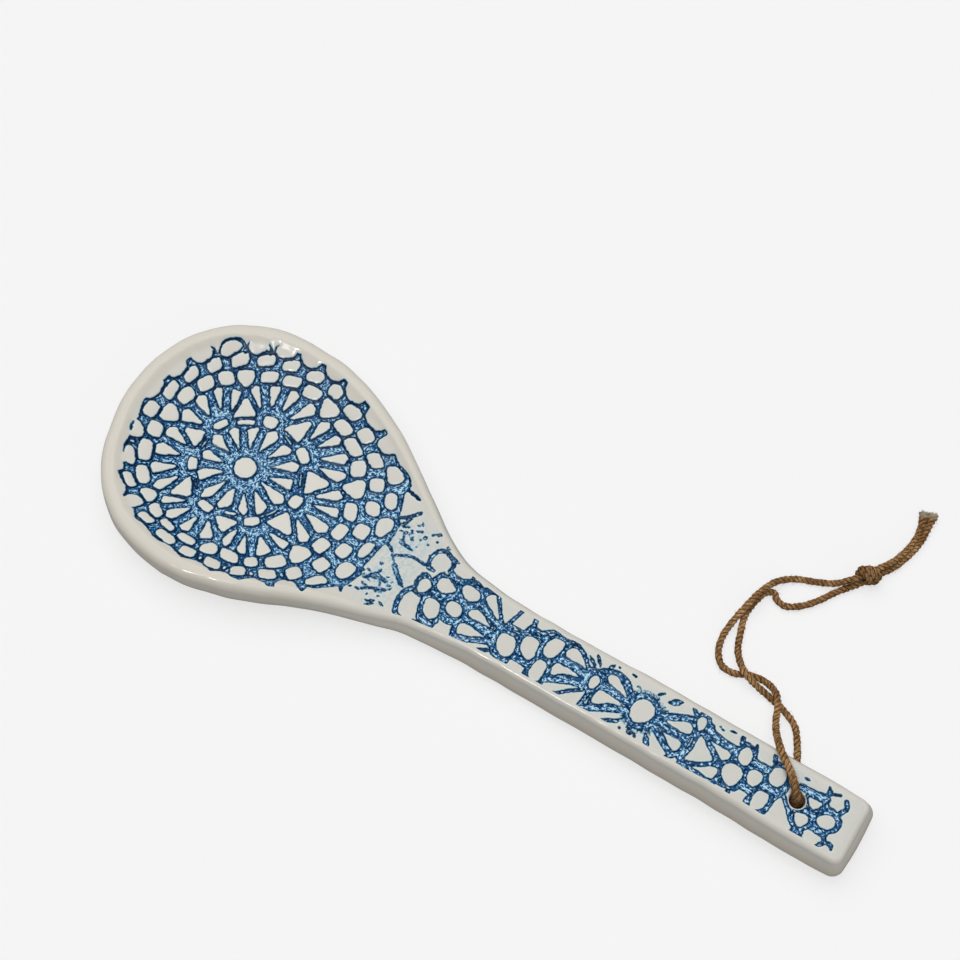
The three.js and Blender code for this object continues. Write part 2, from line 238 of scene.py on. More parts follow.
# Cells with corners: petals round the middle, triangles, then four windows of each fan
MAT_WINDOWS = [
    [(2.5, 15.8), (17.4, 15.2), (14.3, 11.2), (9, 7.4), (5.4, 10)],
    [(26, 15.4), (34, 16.4), (41, 14.2), (36.8, 10.3), (33, 7), (29.8, 10.5)],
    [(50.2, 14), (56.5, 15), (66.6, 13.4), (63.6, 10.4), (59.5, 7), (53.3, 10.1)],
    [(75.8, 13.4), (85.5, 15.1), (95, 13.2), (90.7, 9.2), (85, 5.9), (79.2, 9.6)],
    [(105, 13.9), (122.4, 12.9), (118.6, 9.3), (113, 6.2), (107.8, 9.6)],
    [(131.8, 12.9), (139, 14), (147.4, 13.2), (144.8, 8.8), (141, 6), (135, 10)],
    [(156.8, 13.2), (165, 14.7), (175, 13), (170.7, 9.5), (165.7, 6.8), (160.5, 10.5)],
    [(183.8, 12.6), (191, 14.1), (199.8, 13), (199, 8), (195, 6.4), (188.4, 9.7)],
    [(213.2, 12.6), (217.5, 14.4), (231.3, 14), (226.6, 9.2), (224, 6.2), (216.5, 7.9)],
    [(243.7, 13.6), (250.5, 16.5), (258, 13.8), (255, 8.8), (251, 6.3), (246.3, 10)],
    [(269, 14.4), (275, 15.6), (287.2, 13.2), (285, 9.6), (280.5, 7), (271.2, 9.6)],
    [(295.8, 13.8), (303, 16.1), (308.8, 14.8), (306.5, 11), (303, 7.8), (298.4, 10.8)],
    [(316.2, 16.1), (322.5, 16.3), (332, 14.8), (329.3, 10.4), (325, 7.9), (320.2, 10)],
    [(338.7, 15.1), (348, 16.8), (355.2, 15.2), (353, 10.3), (348.6, 6.3), (342, 10.4)],
    [(20, 26.9), (30.4, 18.9), (17, 18.7), (5.2, 20)],
    [(68.3, 25.2), (82.6, 17), (69, 16.9), (57.8, 17.5)],
    [(123.3, 23.6), (138.6, 16.9), (125, 16.8), (112.2, 17)],
    [(178.6, 22.9), (190.4, 16.6), (178, 16.1), (168, 17.2)],
    [(235.2, 24.2), (245.5, 18.6), (231, 16.3), (221.6, 16.4)],
    [(287.6, 23.2), (299.8, 18.4), (287, 17.3), (275.2, 18)],
    [(335, 27.5), (346.2, 19.9), (334, 18.9), (322.4, 19.4)],
    [(336.8, 29.9), (340.8, 31.5), (344, 30.3), (347, 22.7), (341, 25.6)],
    [(347.8, 30.7), (351.6, 33.1), (355.4, 32.2), (355.2, 26.6), (353.1, 23.7), (350, 27.3)],
    [(0.5, 32.8), (6.8, 31.9), (4.6, 27.5), (1.2, 23.4)],
    [(10.4, 30.3), (13.3, 31.5), (17.6, 29.2), (6.9, 22.5)],
    [(21.6, 28.3), (24.5, 30.5), (27.9, 30.6), (32.5, 21.6), (25, 24.8)],
    [(32.8, 29.8), (35.8, 31.2), (39.7, 30.2), (39.5, 21.8), (35.5, 25.5)],
    [(45, 29), (48.6, 30), (52.3, 28.6), (50.4, 24.5), (48.6, 21.6)],
    [(57, 27.8), (60.8, 28.7), (65.1, 26.4), (56.3, 20.4)],
    [(70.6, 26.1), (74, 28), (78.7, 28), (80.4, 25), (84, 19.4)],
    [(86.3, 27.2), (90.5, 28.4), (94.4, 27.3), (92.2, 20.1)], [(100.2, 27.7), (108.5, 26.9), (101.6, 20)],
    [(114.4, 26.5), (117.9, 26.6), (121.2, 24.9), (109.9, 18.9)],
    [(126.6, 24.7), (133.5, 26), (138, 18.7), (131, 21.3)],
    [(138.8, 26.6), (142.8, 27.6), (145.8, 26.8), (146, 19.8)],
    [(150.5, 26.2), (155.4, 27.4), (159.8, 26.2), (156.4, 19.6)],
    [(165, 25.5), (169.2, 26.6), (176, 24.5), (164.6, 18.8)],
    [(181.2, 24.5), (185.5, 26.4), (190.4, 25.9), (191.2, 18.7), (185, 21.6)],
    [(195.8, 25.6), (199.2, 27.2), (205.6, 26.8), (202, 19.2), (197, 23.3)],
    [(210.6, 27.2), (215, 28.1), (219.5, 27.1), (212.2, 19.2)],
    [(223.8, 25.9), (227.9, 27.9), (232, 25.8), (221.3, 19)],
    [(236.2, 25.5), (239.2, 27), (241.8, 26.6), (247.7, 19.9), (240.8, 22.3)],
    [(247, 26.8), (250.6, 28.2), (254.8, 27.4), (255.8, 20.1), (249.6, 23.4)],
    [(260.6, 27.2), (264.3, 28), (268.4, 26.8), (264.4, 20.7)],
    [(275.5, 27.4), (284.7, 25.6), (272.8, 19.7)],
    [(289.8, 25.2), (292.8, 27.4), (295.9, 26.3), (300, 20.5), (292.6, 22.6)],
    [(300.2, 27.9), (303, 29.5), (306.2, 29.5), (306.2, 22), (302.2, 25.3)],
    [(311.3, 29.8), (313.8, 30.8), (321, 29.7), (315.8, 22.7)],
    [(325, 28.6), (327.8, 30.3), (332.4, 28.9), (321.7, 22.4)],
]
# Open cells of the mat's last round
MAT_BAYS = [
    [(34.8, 47), (35, 42.2), (37.5, 40.6), (40, 40), (41.5, 41), (41.8, 47)],
    [(45, 47), (45.3, 40.6), (48, 39), (51, 38.45), (54, 38.7), (55.2, 40), (55.3, 47)],
    [(59.6, 45), (60, 38), (62.5, 36.9), (65.7, 36.55), (69, 37), (70.6, 38.5), (70.7, 45)],
    [(73.5, 44), (74.5, 37.5), (77, 36.7), (79.5, 36.55), (82, 36.8), (83.5, 38), (83.7, 44)],
    [(86.2, 43), (86.8, 37.2), (89, 35.95), (91.4, 35.65), (94, 36), (96.5, 37.3), (96.8, 43)],
    [(99.2, 44), (99.6, 36.9), (102, 35.7), (104.5, 35.4), (107.5, 35.8), (109.5, 37), (109.7, 44)],
    [(113.4, 44), (113.9, 37), (115.5, 35.9), (118, 35.4), (120.5, 35.8), (122.2, 36.9), (122.6, 44)],
    [(125, 38), (126, 39.2), (128, 39.75), (130.5, 39.8), (133, 39.4), (134.7, 38.4), (135.6, 37),
     (135, 35.9), (132, 35.35), (128.5, 36.1)],
    [(139, 44), (139.4, 37), (141.5, 35.8), (144.5, 35.4), (147, 35.8), (148.8, 37), (149.2, 44)],
    [(151.8, 43), (152.6, 36.4), (155, 35.2), (157.3, 34.95), (160, 35.2), (162, 36), (162.6, 43)],
    [(166, 42), (166.4, 35.9), (169, 34.8), (172, 34.5), (175, 34.7), (177.2, 35.4), (178, 42)],
    [(189.8, 34.6), (191, 33), (194, 31.6), (197, 31.6), (199.3, 33), (199.8, 35), (199.5, 39), (190, 39)],
    [(204.3, 34.5), (205, 33), (208, 32.1), (212, 32), (215, 32.6), (214, 34.6), (213, 39), (207.5, 39),
     (206, 35.8)],
    [(231.5, 35.2), (232, 33.5), (234, 31.7), (237.5, 31.5), (239, 33), (239, 35), (238, 39), (233.5, 39),
     (232.4, 36.1)],
    [(317.2, 48), (317.4, 42.2), (319, 40.9), (321, 40.7), (323, 41.4), (325, 42.3), (325.4, 44),
     (325.4, 49)],
]
# Thread ends that curl out of the mat's edge: half width, then angles and radii from the tip inwards
MAT_HOOKS = [
    (0.26, [(191.7, 35.4), (193.9, 35.5), (196.4, 35.1)]),
    (0.3, [(208.6, 35.5), (206.2, 35.6), (203.4, 35.1), (200.4, 34.3)]),
    (0.22, [(188.3, 34.8), (188.4, 33.8), (189.5, 32.8)]),
    (0.22, [(213.6, 34.5), (215.4, 34.1), (216.3, 33.1)]),
    (0.36, [(139.2, 38.9), (138.3, 38.4), (137.9, 37.6), (138.2, 36)]),
    (0.42, [(122, 38.7), (123.2, 37.5), (123.7, 36.1)]),
    (0.4, [(112.9, 38.5), (111.5, 37.5), (111.6, 36)]),
    (0.22, [(108.4, 38.9), (109.4, 37.9), (109.6, 36.4)]),
]
# Cells in plan that no thread closes, or that the mat or a broad thread closes already
PLAN_GAPS = [
    [(38.5, 25.9), (40.1, 27), (41.9, 26.9), (43.9, 26), (45, 24.6), (44.4, 23.4), (41.6, 21.9),
     (38.9, 24.4)],
    [(42.5, 18.7), (43.4, 19.8), (45.5, 20), (46.75, 18.4), (47.4, 16.6), (46.4, 15.3), (44.4, 15.3),
     (43, 16.9)],
    [(45.1, 9.4), (45.3, 11.6), (47.6, 13), (49.1, 12.8), (50, 11.2), (49.6, 8.5), (48.4, 6.4),
     (46.6, 6.6)],
    [(45.3, 1.6), (46.2, 3.4), (48.4, 3.7), (48.7, 2.3), (48.4, -0.2), (47.3, -2), (46, -2), (45.3, -0.2)],
    [(43, -7.7), (43.9, -5.6), (45.9, -5), (47.8, -5.4), (48.2, -7.4), (47.5, -9.9), (45.9, -11.3),
     (43.6, -10.2)],
    [(38.2, -17.4), (38.7, -15.8), (40.9, -13.1), (42.6, -13.1), (43.9, -14.3), (42.8, -15.9),
     (40.9, -17.7), (39.1, -18.3)],
    [(65.7, 7.5), (66.2, 9.4), (67.6, 10.5), (69.4, 10.6), (70.9, 10.1), (71.6, 8.5), (70.9, 6.9),
     (69.4, 5.5), (66.6, 6.3)],
    [(65.1, -6.3), (65.9, -5), (68.4, -4.3), (69.6, -5.2), (70.1, -7.4), (71, -9.5), (69.6, -12),
     (67, -11.2), (65.5, -8.8)],
    [(76.9, -9.9), (77.6, -7.7), (79.4, -7.2), (81.6, -7.7), (82.3, -9.3), (82, -12), (78, -12)],
    [(73.6, 9.4), (74.4, 12.4), (78, 12.4), (78.3, 10), (77.5, 8.2), (75.5, 7.6)],
    [(100.8, -8.4), (101.4, -6.8), (103.6, -6.2), (105.6, -6.8), (105.9, -8.7), (105.3, -11), (101.4, -11)],
    [(195.2, -7.8), (195.7, -6.5), (197.8, -5.7), (199.4, -5.9), (199.8, -7.5), (198.9, -8.8),
     (196.5, -8.8)],
    [(96.6, 1.75), (97.8, 2), (99.4, 1.9), (99.2, 1.6), (98, 1.5)],
    [(102.5, 4.5), (103.6, 4.75), (105, 4.5), (103.6, 4.25)],
    [(156.4, 0.4), (156.8, 0.2), (156.75, -2.6), (156.4, -2.8), (156.3, -1)],
]
# Cells in plan with a thread round each: the net on the neck and handle and the windows of its fans
PLAN_CELLS = [
    [(66.2, 0.9), (66.6, 1.6), (67.6, 2.3), (69.1, 1.8), (70, 0.5), (69.6, -0.9), (68.4, -2.4),
     (66.9, -2.4)],
    [(70.7, 3.4), (71.2, 4.8), (73, 5.5), (75.1, 4.6), (76.8, 3.4), (75.5, 1.8), (73.4, 0.7), (71.6, 1.2)],
    [(70.7, -3.8), (71.2, -2.5), (73, -2), (74.8, -2.4), (75.9, -4.1), (76.4, -5.9), (75.7, -7.4),
     (74.4, -8.1), (71.9, -6.8)],
    [(76.6, -1.6), (77.1, 0), (78.7, 0.5), (80.9, 0), (81.9, -1.6), (81.2, -3.6), (79.1, -4), (77.3, -3.1)],
    [(77.8, 5.1), (78.4, 6.6), (80.5, 7.1), (83, 6.6), (83.9, 5.1), (83.2, 3.4), (81.2, 2.6), (79.1, 3.5)],
    [(85.1, 6.3), (85.8, 7.6), (87.3, 8.3), (88.6, 6.9), (90.1, 5.1), (92, 2.3), (90.8, 2.3), (88.9, 3.5),
     (86.4, 4.8)],
    [(83.3, 0.4), (83.9, 1.3), (85.4, 1.9), (87.9, 1.2), (90.1, -0.3), (91.1, -1), (88.6, -1),
     (83.6, -1.2)],
    [(82.9, -5.3), (83.3, -4), (85.1, -3.5), (88.9, -4), (91.4, -4.3), (88.9, -5.6), (86.4, -6.8),
     (83.6, -7.4)],
    [(94.5, -2.4), (94.8, -0.6), (96.1, 0.1), (98.9, -0.1), (100, -1.5), (100.6, -3.4), (100.3, -5.6),
     (98.6, -6.5), (96.7, -6), (95.1, -4.3)],
    [(100.9, 0.7), (101.5, 2.3), (103.6, 2.9), (105.6, 2.3), (106.2, -0.3), (106.5, -2.4), (105.1, -4),
     (102.9, -3.1), (101.4, -1.5)],
    [(107.4, 1.7), (107.6, 4.2), (108.7, 5.9), (110.3, 6.4), (112, 5.9), (112.3, 3.9), (111.8, 1.4),
     (110.3, -0.3), (108.4, -0.2)],
    [(107.3, -3.6), (107.8, -2.2), (109, -1.8), (110.9, -2.1), (111.3, -3.9), (111.3, -6.4), (110.7, -8),
     (108.7, -8.3), (107.4, -6.8)],
    [(113.5, 3.9), (114, 5.6), (115.6, 6.2), (117.4, 5.6), (119, 4.5), (121, 2.2), (119, 2.6),
     (115.9, 2.6), (114, 2.8)],
    [(112.3, -1.4), (112.8, -0.3), (115.3, 0), (119, -0.2), (120.6, -0.8), (118.4, -1.4), (115.6, -2.7),
     (113.1, -4.3)],
    [(123.4, 0.1), (123.7, 1.8), (124.9, 2.5), (126.2, 1.4), (126.3, 0.1), (125.6, -1.8), (124.5, -2.1)],
    [(127.3, 3.6), (128.1, 4.8), (129.9, 5), (131.5, 4), (133.1, 2.9), (135.3, 0.8), (133.1, 1.2),
     (130.6, 1.8), (128.4, 2.2)],
    [(126.8, -2.7), (127.3, -1.1), (129.6, -0.7), (133.1, -1), (136.2, -1.4), (133.7, -2.4), (131.2, -3.3),
     (128.7, -5), (127.1, -5.2)],
    [(137.3, 0), (137.8, 1.7), (139.3, 3.1), (141.2, 3.4), (143.2, 2.5), (144.2, 0.4), (143.8, -1.4),
     (142.4, -3.3), (140.3, -4.1), (138.4, -3.3), (137.6, -1.8)],
    [(147.6, 0.8), (149.8, 2), (152.3, 3.4), (154.1, 3.7), (155.4, 2.6), (155.5, 1.1), (154.4, 0.3),
     (151.6, 0.3)],
    [(147.9, -2.1), (150.1, -2.4), (152.9, -2.2), (154.6, -2.7), (154.9, -4.3), (154.1, -5.7),
     (152.6, -5.5), (150.4, -3.9)],
    [(155.1, 5.8), (156, 7.3), (157.3, 7), (158, 5.1), (157.7, 3.6), (156.9, 2.9), (156, 3.9)],
    [(158.3, 2), (159.4, 1.7), (161, 0.4), (164.4, -2.5), (162.9, -3.9), (160.1, -5.5), (157.6, -6.1),
     (157.9, -3)],
    [(161, 2.3), (162.9, 2.3), (166, 2.2), (168, 1.7), (167.9, 0.1), (166.3, -1), (164.8, -0.2),
     (162.9, 1.1)],
    [(160.2, -7.1), (162.9, -5.5), (165.4, -3.9), (166.8, -3.9), (167.3, -5.5), (166.9, -7.1),
     (165.4, -7.5), (162.9, -7.1)],
    [(169.6, 3.9), (170.1, 5.4), (171.3, 6.1), (172.9, 5.3), (173.5, 3.3), (173.2, 1.4), (171.9, 0.8),
     (170.2, 1.5)],
    [(167.6, -3), (167.9, -1.4), (169.8, -0.2), (172.3, -0.5), (173.5, -2.1), (173.2, -4.9), (171.9, -6.4),
     (170.4, -6.3), (168.5, -5)],
    [(174.4, -0.8), (174.8, 0.9), (176.3, 1.7), (178.2, 1.2), (178.8, -0.5), (178.2, -2.4), (176.8, -3.3),
     (175.1, -2.7)],
    [(179.6, 2.9), (180.1, 4.8), (181.3, 5.8), (183.2, 5.8), (184.1, 4.2), (184.3, 2.3), (183.3, 0.4),
     (181.3, 0.1), (179.9, 1.2)],
    [(178.5, -5.5), (179.1, -3.6), (180.4, -2.7), (182.3, -2.8), (182.9, -4.3), (182.6, -6.8),
     (181.3, -8.3), (179.4, -8.5)],
    [(196.4, -1.5), (197.1, -0.2), (198.6, 0.8), (200.5, 0.9), (201.5, -0.2), (201.4, -1.7), (200.5, -2.9),
     (198.6, -3.3), (197.1, -2.8)],
    [(191.8, 2.5), (193.9, 2.9), (195.9, 2.9), (195.7, 1.2), (194.4, 0.1), (193.1, 0.6)],
    [(190.7, -3.3), (192.3, -2.5), (194.4, -2.5), (194.9, -3.8), (194.4, -5.4), (193.1, -6.5),
     (191.5, -5.2)],
]
# Threads beyond the mat and along the handle: half width, then points
PLAN_THREADS = [
    (0.32, [(46.8, 23.1), (52.6, 21.6)]), (0.45, [(50.3, 14.6), (52.5, 16), (54.9, 18.5)]),
    (0.35, [(51.6, 13.3), (53.2, 14.4)]), (0.3, [(52, 12.6), (53, 13)]),
    (0.5, [(50.5, 6.2), (52.8, 5.2), (54.4, 3.9)]),
    (0.4, [(54.8, 3.3), (57.3, 4.9), (60, 5.8), (64.6, 5.6)]), (0.25, [(54.6, 3.2), (56.4, 1.7)]),
    (0.68, [(56.9, 1.1), (59.5, -1.2), (61.8, -3.1)]), (0.3, [(62, -3.2), (63, -3.8)]),
    (0.55, [(54.3, 8), (56.5, 7.9), (58.7, 7.5)]),
    (0.5, [(52.2, -6.3), (53.6, -4.2), (55, -4.2), (57.8, -4.8)]), (0.4, [(54, -3.6), (54.4, -2.6)]),
    (0.45, [(53.6, -9.8), (56, -8.4), (59, -7.3)]), (0.4, [(56.8, -14.4), (58.6, -12.8)]),
    (0.45, [(57, -12.7), (58.4, -11.9)]), (0.35, [(59.8, -11.3), (61.4, -12)]),
    (0.5, [(47, -12), (48.8, -14.6)]), (0.5, [(38, -20), (39.6, -20.8)]),
    (0.62, [(67.7, 5.4), (66, 5.5), (65.1, 7.3), (65.1, 9.7), (66.3, 11.4), (68, 12.1), (70, 11.4),
     (72, 11.2), (73.5, 12.1)]),
    (0.7, [(71.3, 11), (71.9, 9.4)]), (0.85, [(71.4, 8.6), (73, 7.2), (75, 6.8), (77.6, 7.6)]),
    (0.4, [(67.8, 13.4), (68.6, 13.9)]),
    (0.65, [(70.6, 6), (70, 4), (70.1, 1), (70, -3), (70.5, -6), (71.6, -8.8)]),
    (0.5, [(65.5, 2.6), (65.3, 0.3), (65.6, -2)]),
    (0.5, [(65.6, 2.9), (67, 3.2), (68.8, 2.6), (69.6, 3.9)]),
    (0.5, [(66, -3.2), (68, -3.3), (69.5, -3.4)]),
    (0.75, [(65.2, -2.6), (64.1, -4.6), (63.9, -7.5), (64.7, -10.4), (66, -12), (67.8, -12.2)]),
    (0.9, [(70.5, 0), (73.5, -0.6), (76, 0.4), (77.3, 2.5)]), (0.8, [(76.4, 7.2), (77.2, 4.5), (77.6, 2)]),
    (1.0, [(78, 2.3), (80.5, 1.6), (82.7, 1)]), (0.8, [(76, -0.5), (76.2, -3), (76.9, -5.5)]),
    (1.25, [(77, -5), (79.3, -5.4), (81.8, -4.8)]), (0.85, [(82.4, 1.7), (82.6, -1.5), (82.3, -5)]),
    (1.0, [(72.3, -9.2), (76.6, -9.7)]), (0.3, [(71, -11), (73, -10.6), (75, -10.9), (77, -11.4)]),
    (0.7, [(76.6, -6), (76.8, -8), (76.8, -10.6)]), (0.45, [(78.6, 10.6), (79, 9.3)]),
    (0.35, [(79.6, 9.2), (82.5, 8.5)]), (0.6, [(77.6, 7.7), (79.5, 8.5), (81, 7.8), (83.5, 7.9)]),
    (0.75, [(84.4, 7.7), (84.6, 5), (84, 2.8), (82.8, 1.8)]),
    (0.62, [(83.5, 8), (86.8, 9.2), (89.5, 6.6), (92, 3.2), (94, 1.2)]),
    (1.0, [(85.2, 4), (88, 2.8), (91, 1.5), (94, 0.2)]), (1.15, [(82.5, -2.3), (88, -2.4), (94, -2.3)]),
    (1.05, [(83.3, -9.6), (86, -7.9), (90, -6), (94, -4.4)]),
    (0.5, [(88.5, -10.4), (91, -8.9), (94.2, -7.2)]), (0.8, [(82.7, -4.5), (82.5, -8), (83.3, -10.3)]),
    (1.3, [(93.7, 1), (93.9, -2), (94, -5)]), (0.55, [(94.6, 1), (95.3, 4), (96.4, 8.1)]),
    (0.85, [(94.3, -5), (95.5, -6.8), (98, -7.6), (100, -7)]),
    (0.5, [(95.6, -9.6), (97.5, -9), (99.5, -9.3)]), (0.6, [(100.1, -6), (100, -9.9)]),
    (1.25, [(95.8, 1.9), (100, 1.9)]), (0.65, [(101, 8.2), (101.6, 6.2)]),
    (0.7, [(101.3, 5.5), (100.7, 3), (100.5, 0), (101.2, -2.5), (102.5, -4.4)]),
    (1.15, [(101.8, 4.8), (106.3, 4.6)]), (1.0, [(101, -5), (103.5, -5), (106.5, -5.4)]),
    (0.65, [(106.6, 5), (106.9, 1), (107, -2), (106.4, -5)]),
    (0.55, [(105, 5.7), (107.7, 7.5), (110, 7.1), (112.6, 7)]),
    (0.6, [(112.9, 6.8), (112.7, 3), (111.8, 0.2)]), (0.7, [(107.3, -1), (111.4, -1)]),
    (0.75, [(106.7, -2.5), (106.6, -6)]), (0.5, [(106.4, -6), (106.3, -10.6)]),
    (0.5, [(106.8, -9), (109.5, -9), (112.3, -8.6)]), (0.6, [(111.6, -1.5), (112, -4.5), (112, -8.3)]),
    (0.7, [(112.9, 7), (114.4, 7.9), (116.5, 7.1)]), (0.5, [(116.5, 7), (118.5, 5.9), (121.5, 2.8)]),
    (1.15, [(112.6, 1.4), (116, 1.4), (121.5, 0.9)]), (1.1, [(112.4, -6.1), (116, -4.3), (122.3, -1.9)]),
    (0.5, [(116, -9.2), (119, -6.6), (123, -3.6)]), (0.45, [(121.5, 8), (124, 5)]),
    (0.4, [(120, 6.4), (122.8, 4.2)]), (1.2, [(122.3, 2.5), (122.3, -2.5)]),
    (0.7, [(124.9, -3), (124.8, -6), (124.5, -9)]), (0.45, [(127.3, 7.6), (126.4, 5.6)]),
    (0.75, [(123, 3.2), (124.9, 3.3), (126.4, 2.6), (127, 0.5), (126.3, -2), (124.8, -2.9), (123.2, -1.8)]),
    (0.75, [(125.3, 4.3), (127.2, 5.3), (129.5, 6), (132.5, 5.2), (135.8, 2.6)]),
    (0.95, [(127, 0.4), (130, 0.7), (136, 0)]),
    (1.0, [(125.2, -8.2), (129, -6.3), (132, -4.6), (136.8, -2.4)]),
    (0.55, [(131.2, -9.4), (133.5, -7.7), (136, -6.3)]), (0.6, [(126.4, -2.3), (126.6, -6)]),
    (0.35, [(142.1, 6.2), (143.7, 7.6)]), (0.8, [(144.9, -5.4), (147.1, -9.4)]),
    (0.35, [(141.2, -7), (140.9, -8)]), (0.35, [(142, -7), (142.6, -8)]),
    (0.95, [(146.1, 6.1), (149.1, 8)]), (0.8, [(145, 1.2), (147, 2), (150, 3.7), (154.2, 5.3)]),
    (0.95, [(145.5, -0.4), (150, -0.8), (156, -0.9)]), (0.85, [(145.3, -2.2), (149, -4.5), (153.8, -7.2)]),
    (0.4, [(152.3, -8.6), (153.6, -7.2)]), (0.55, [(152.8, 8), (154.3, 6.6), (156.8, 2.6)]),
    (1.35, [(156.7, 2), (156.6, -2), (156.4, -6)]), (0.7, [(155, -6), (153.8, -7)]),
    (0.75, [(156.8, -6), (157, -9.4)]),
    (0.65, [(155.5, 8.2), (157.5, 7.7), (158.8, 6), (158.8, 3.6), (157.6, 2.4)]),
    (1.0, [(159.6, 5.8), (159.9, 3.6)]), (0.55, [(159.3, 2.9), (162.5, 0.3), (166, -2.3)]),
    (0.5, [(157.4, -6.9), (161, -5.8), (164, -4), (166.7, -2.6)]),
    (1.1, [(160, 4.6), (164, 3.8), (169, 3.6)]), (1.0, [(159.5, -7.8), (163, -8.2), (167, -8.3)]),
    (0.5, [(167.2, -8.3), (167.3, -9.6)]), (0.8, [(157.5, -7.5), (159.5, -8.3)]),
    (0.75, [(168.5, 4), (168.8, 1), (167.6, -1.4), (166.6, -2.6), (167.3, -5), (167.8, -7.2)]),
    (0.6, [(168.5, 7.9), (169, 6)]), (0.45, [(169, 6.9), (171, 6.9), (173, 6.5)]),
    (0.5, [(172.8, 8.2), (173.4, 6.3), (174.3, 4.4)]), (0.75, [(169, 0.4), (173, 0.1)]),
    (0.7, [(173.9, 4), (174, 1), (174, -3), (173.9, -5.5)]), (1.15, [(174, 3.2), (179, 3.3)]),
    (1.15, [(174.2, -4.4), (178.3, -4.5)]), (0.6, [(167.9, -7.1), (170.5, -7.1), (173.5, -6.3)]),
    (0.6, [(172.1, -7), (172.3, -10.4)]), (0.7, [(179.1, 3), (179.3, 0), (178.3, -3)]),
    (0.6, [(178.7, 8), (179.4, 6.3)]), (0.5, [(179.4, 6.5), (181.5, 6.6), (184, 6.3)]),
    (1.25, [(179.6, -1.2), (184.2, -1.1)]), (0.65, [(177.7, -5.3), (177.9, -10)]),
    (0.62, [(178, -9.1), (181, -9.2), (183.4, -7.6), (183.7, -4), (184.4, -1.5)]),
    (0.9, [(184.6, 4), (185.2, 1.5), (185.2, -0.5)]),
    (0.65, [(185.6, -0.6), (188.3, -3.3), (191, -6), (193.2, -7.4)]),
    (1.05, [(188.9, 4), (192, 4.2), (196.3, 4.6)]), (0.65, [(195.5, 8.1), (196.3, 6.5), (195.8, 5.3)]),
    (0.3, [(196.8, 6.6), (197.8, 6.9)]), (0.65, [(196.4, 4.8), (196.9, 2.5), (196.3, 0.3)]),
    (0.6, [(197.3, 2.8), (199.2, 2.6), (200.8, 2.4), (201.7, 3.7), (202.2, 5), (201.3, 6.8)]),
    (0.8, [(196.8, 1.5), (199, 1.7), (201, 1.7)]),
    (0.7, [(201.2, 1.9), (202.2, 0.8), (202.4, -0.7), (201.8, -2.2), (200.4, -3.5)]),
    (1.05, [(195.2, -4.2), (197.5, -4.4), (200.2, -4.4)]), (1.0, [(193.2, -1.3), (196.2, -1.4)]),
    (0.65, [(195.5, -2.3), (195.1, -5), (194.2, -7)]), (1.0, [(192.8, -7.6), (194.3, -7.6)]),
    (0.32, [(190, -9.8), (192.6, -8.4)]), (0.45, [(193.9, -9.7), (194.8, -8.3)]),
    (0.4, [(195.2, -8.9), (196.1, -8.5)]), (0.6, [(200.3, -4.8), (201.2, -6.6), (199, -8.7)]),
    (0.55, [(201.2, -6.5), (203, -6.2), (203.8, -7.3)]), (0.3, [(188.4, 6.8), (189.9, 6.8)]),
    (0.35, [(198, 7), (199, 7.5)]), (0.25, [(164.4, 7.6), (166.3, 7.9)]),
    (0.22, [(162.1, 6.8), (163, 6.8)]), (0.3, [(133.2, 7.9), (134.1, 7.7)]),
]
# Loose dots: place and radius
PLAN_DOTS = [
    (54.3, 11.4, 0.45), (57.2, 13.3, 0.35), (58.3, 13.7, 0.35), (60.2, 12.7, 0.5), (59.3, 11.5, 0.35),
    (61.7, 14.5, 0.35), (64, 13.3, 0.3), (62, 11.2, 0.3), (53.4, -0.4, 0.5), (50.2, -4.7, 0.3),
    (51, -5.8, 0.3), (49.8, -11.5, 0.35), (59.3, -4.1, 0.3), (68.1, -2.6, 0.4), (137.6, -7.8, 0.4),
    (136.2, 5.5, 0.25), (128.8, 7.8, 0.35), (161.6, 7.3, 0.25),
]
FLOWER, FLOWER_RING = (140.7, -0.35), 4.5
# Corners of the places on the neck that pigment splashed over, and how many specks each has
NECK_SPRAY = [((52, 8), (66, 16.5), 30), ((51, -13), (60.5, -2.5), 26)]


def length(name, description, default):
    """A size in metres that the sidebar shows."""
    return FloatProperty(
        name=name, description=description, default=default, min=0, unit="LENGTH", precision=5
    )


def amount(name, description, default):
    """A plain number that the sidebar shows."""
    return FloatProperty(name=name, description=description, default=default)


def angle(name, description, degrees):
    """An angle that the sidebar shows."""
    return FloatProperty(name=name, description=description, default=math.radians(degrees), subtype="ANGLE")


def colour(name, description, default):
    """A linear colour that the sidebar shows."""
    return FloatVectorProperty(
        name=name, description=description, default=(*default, 1.0), size=4, min=0, max=1, subtype="COLOR"
    )


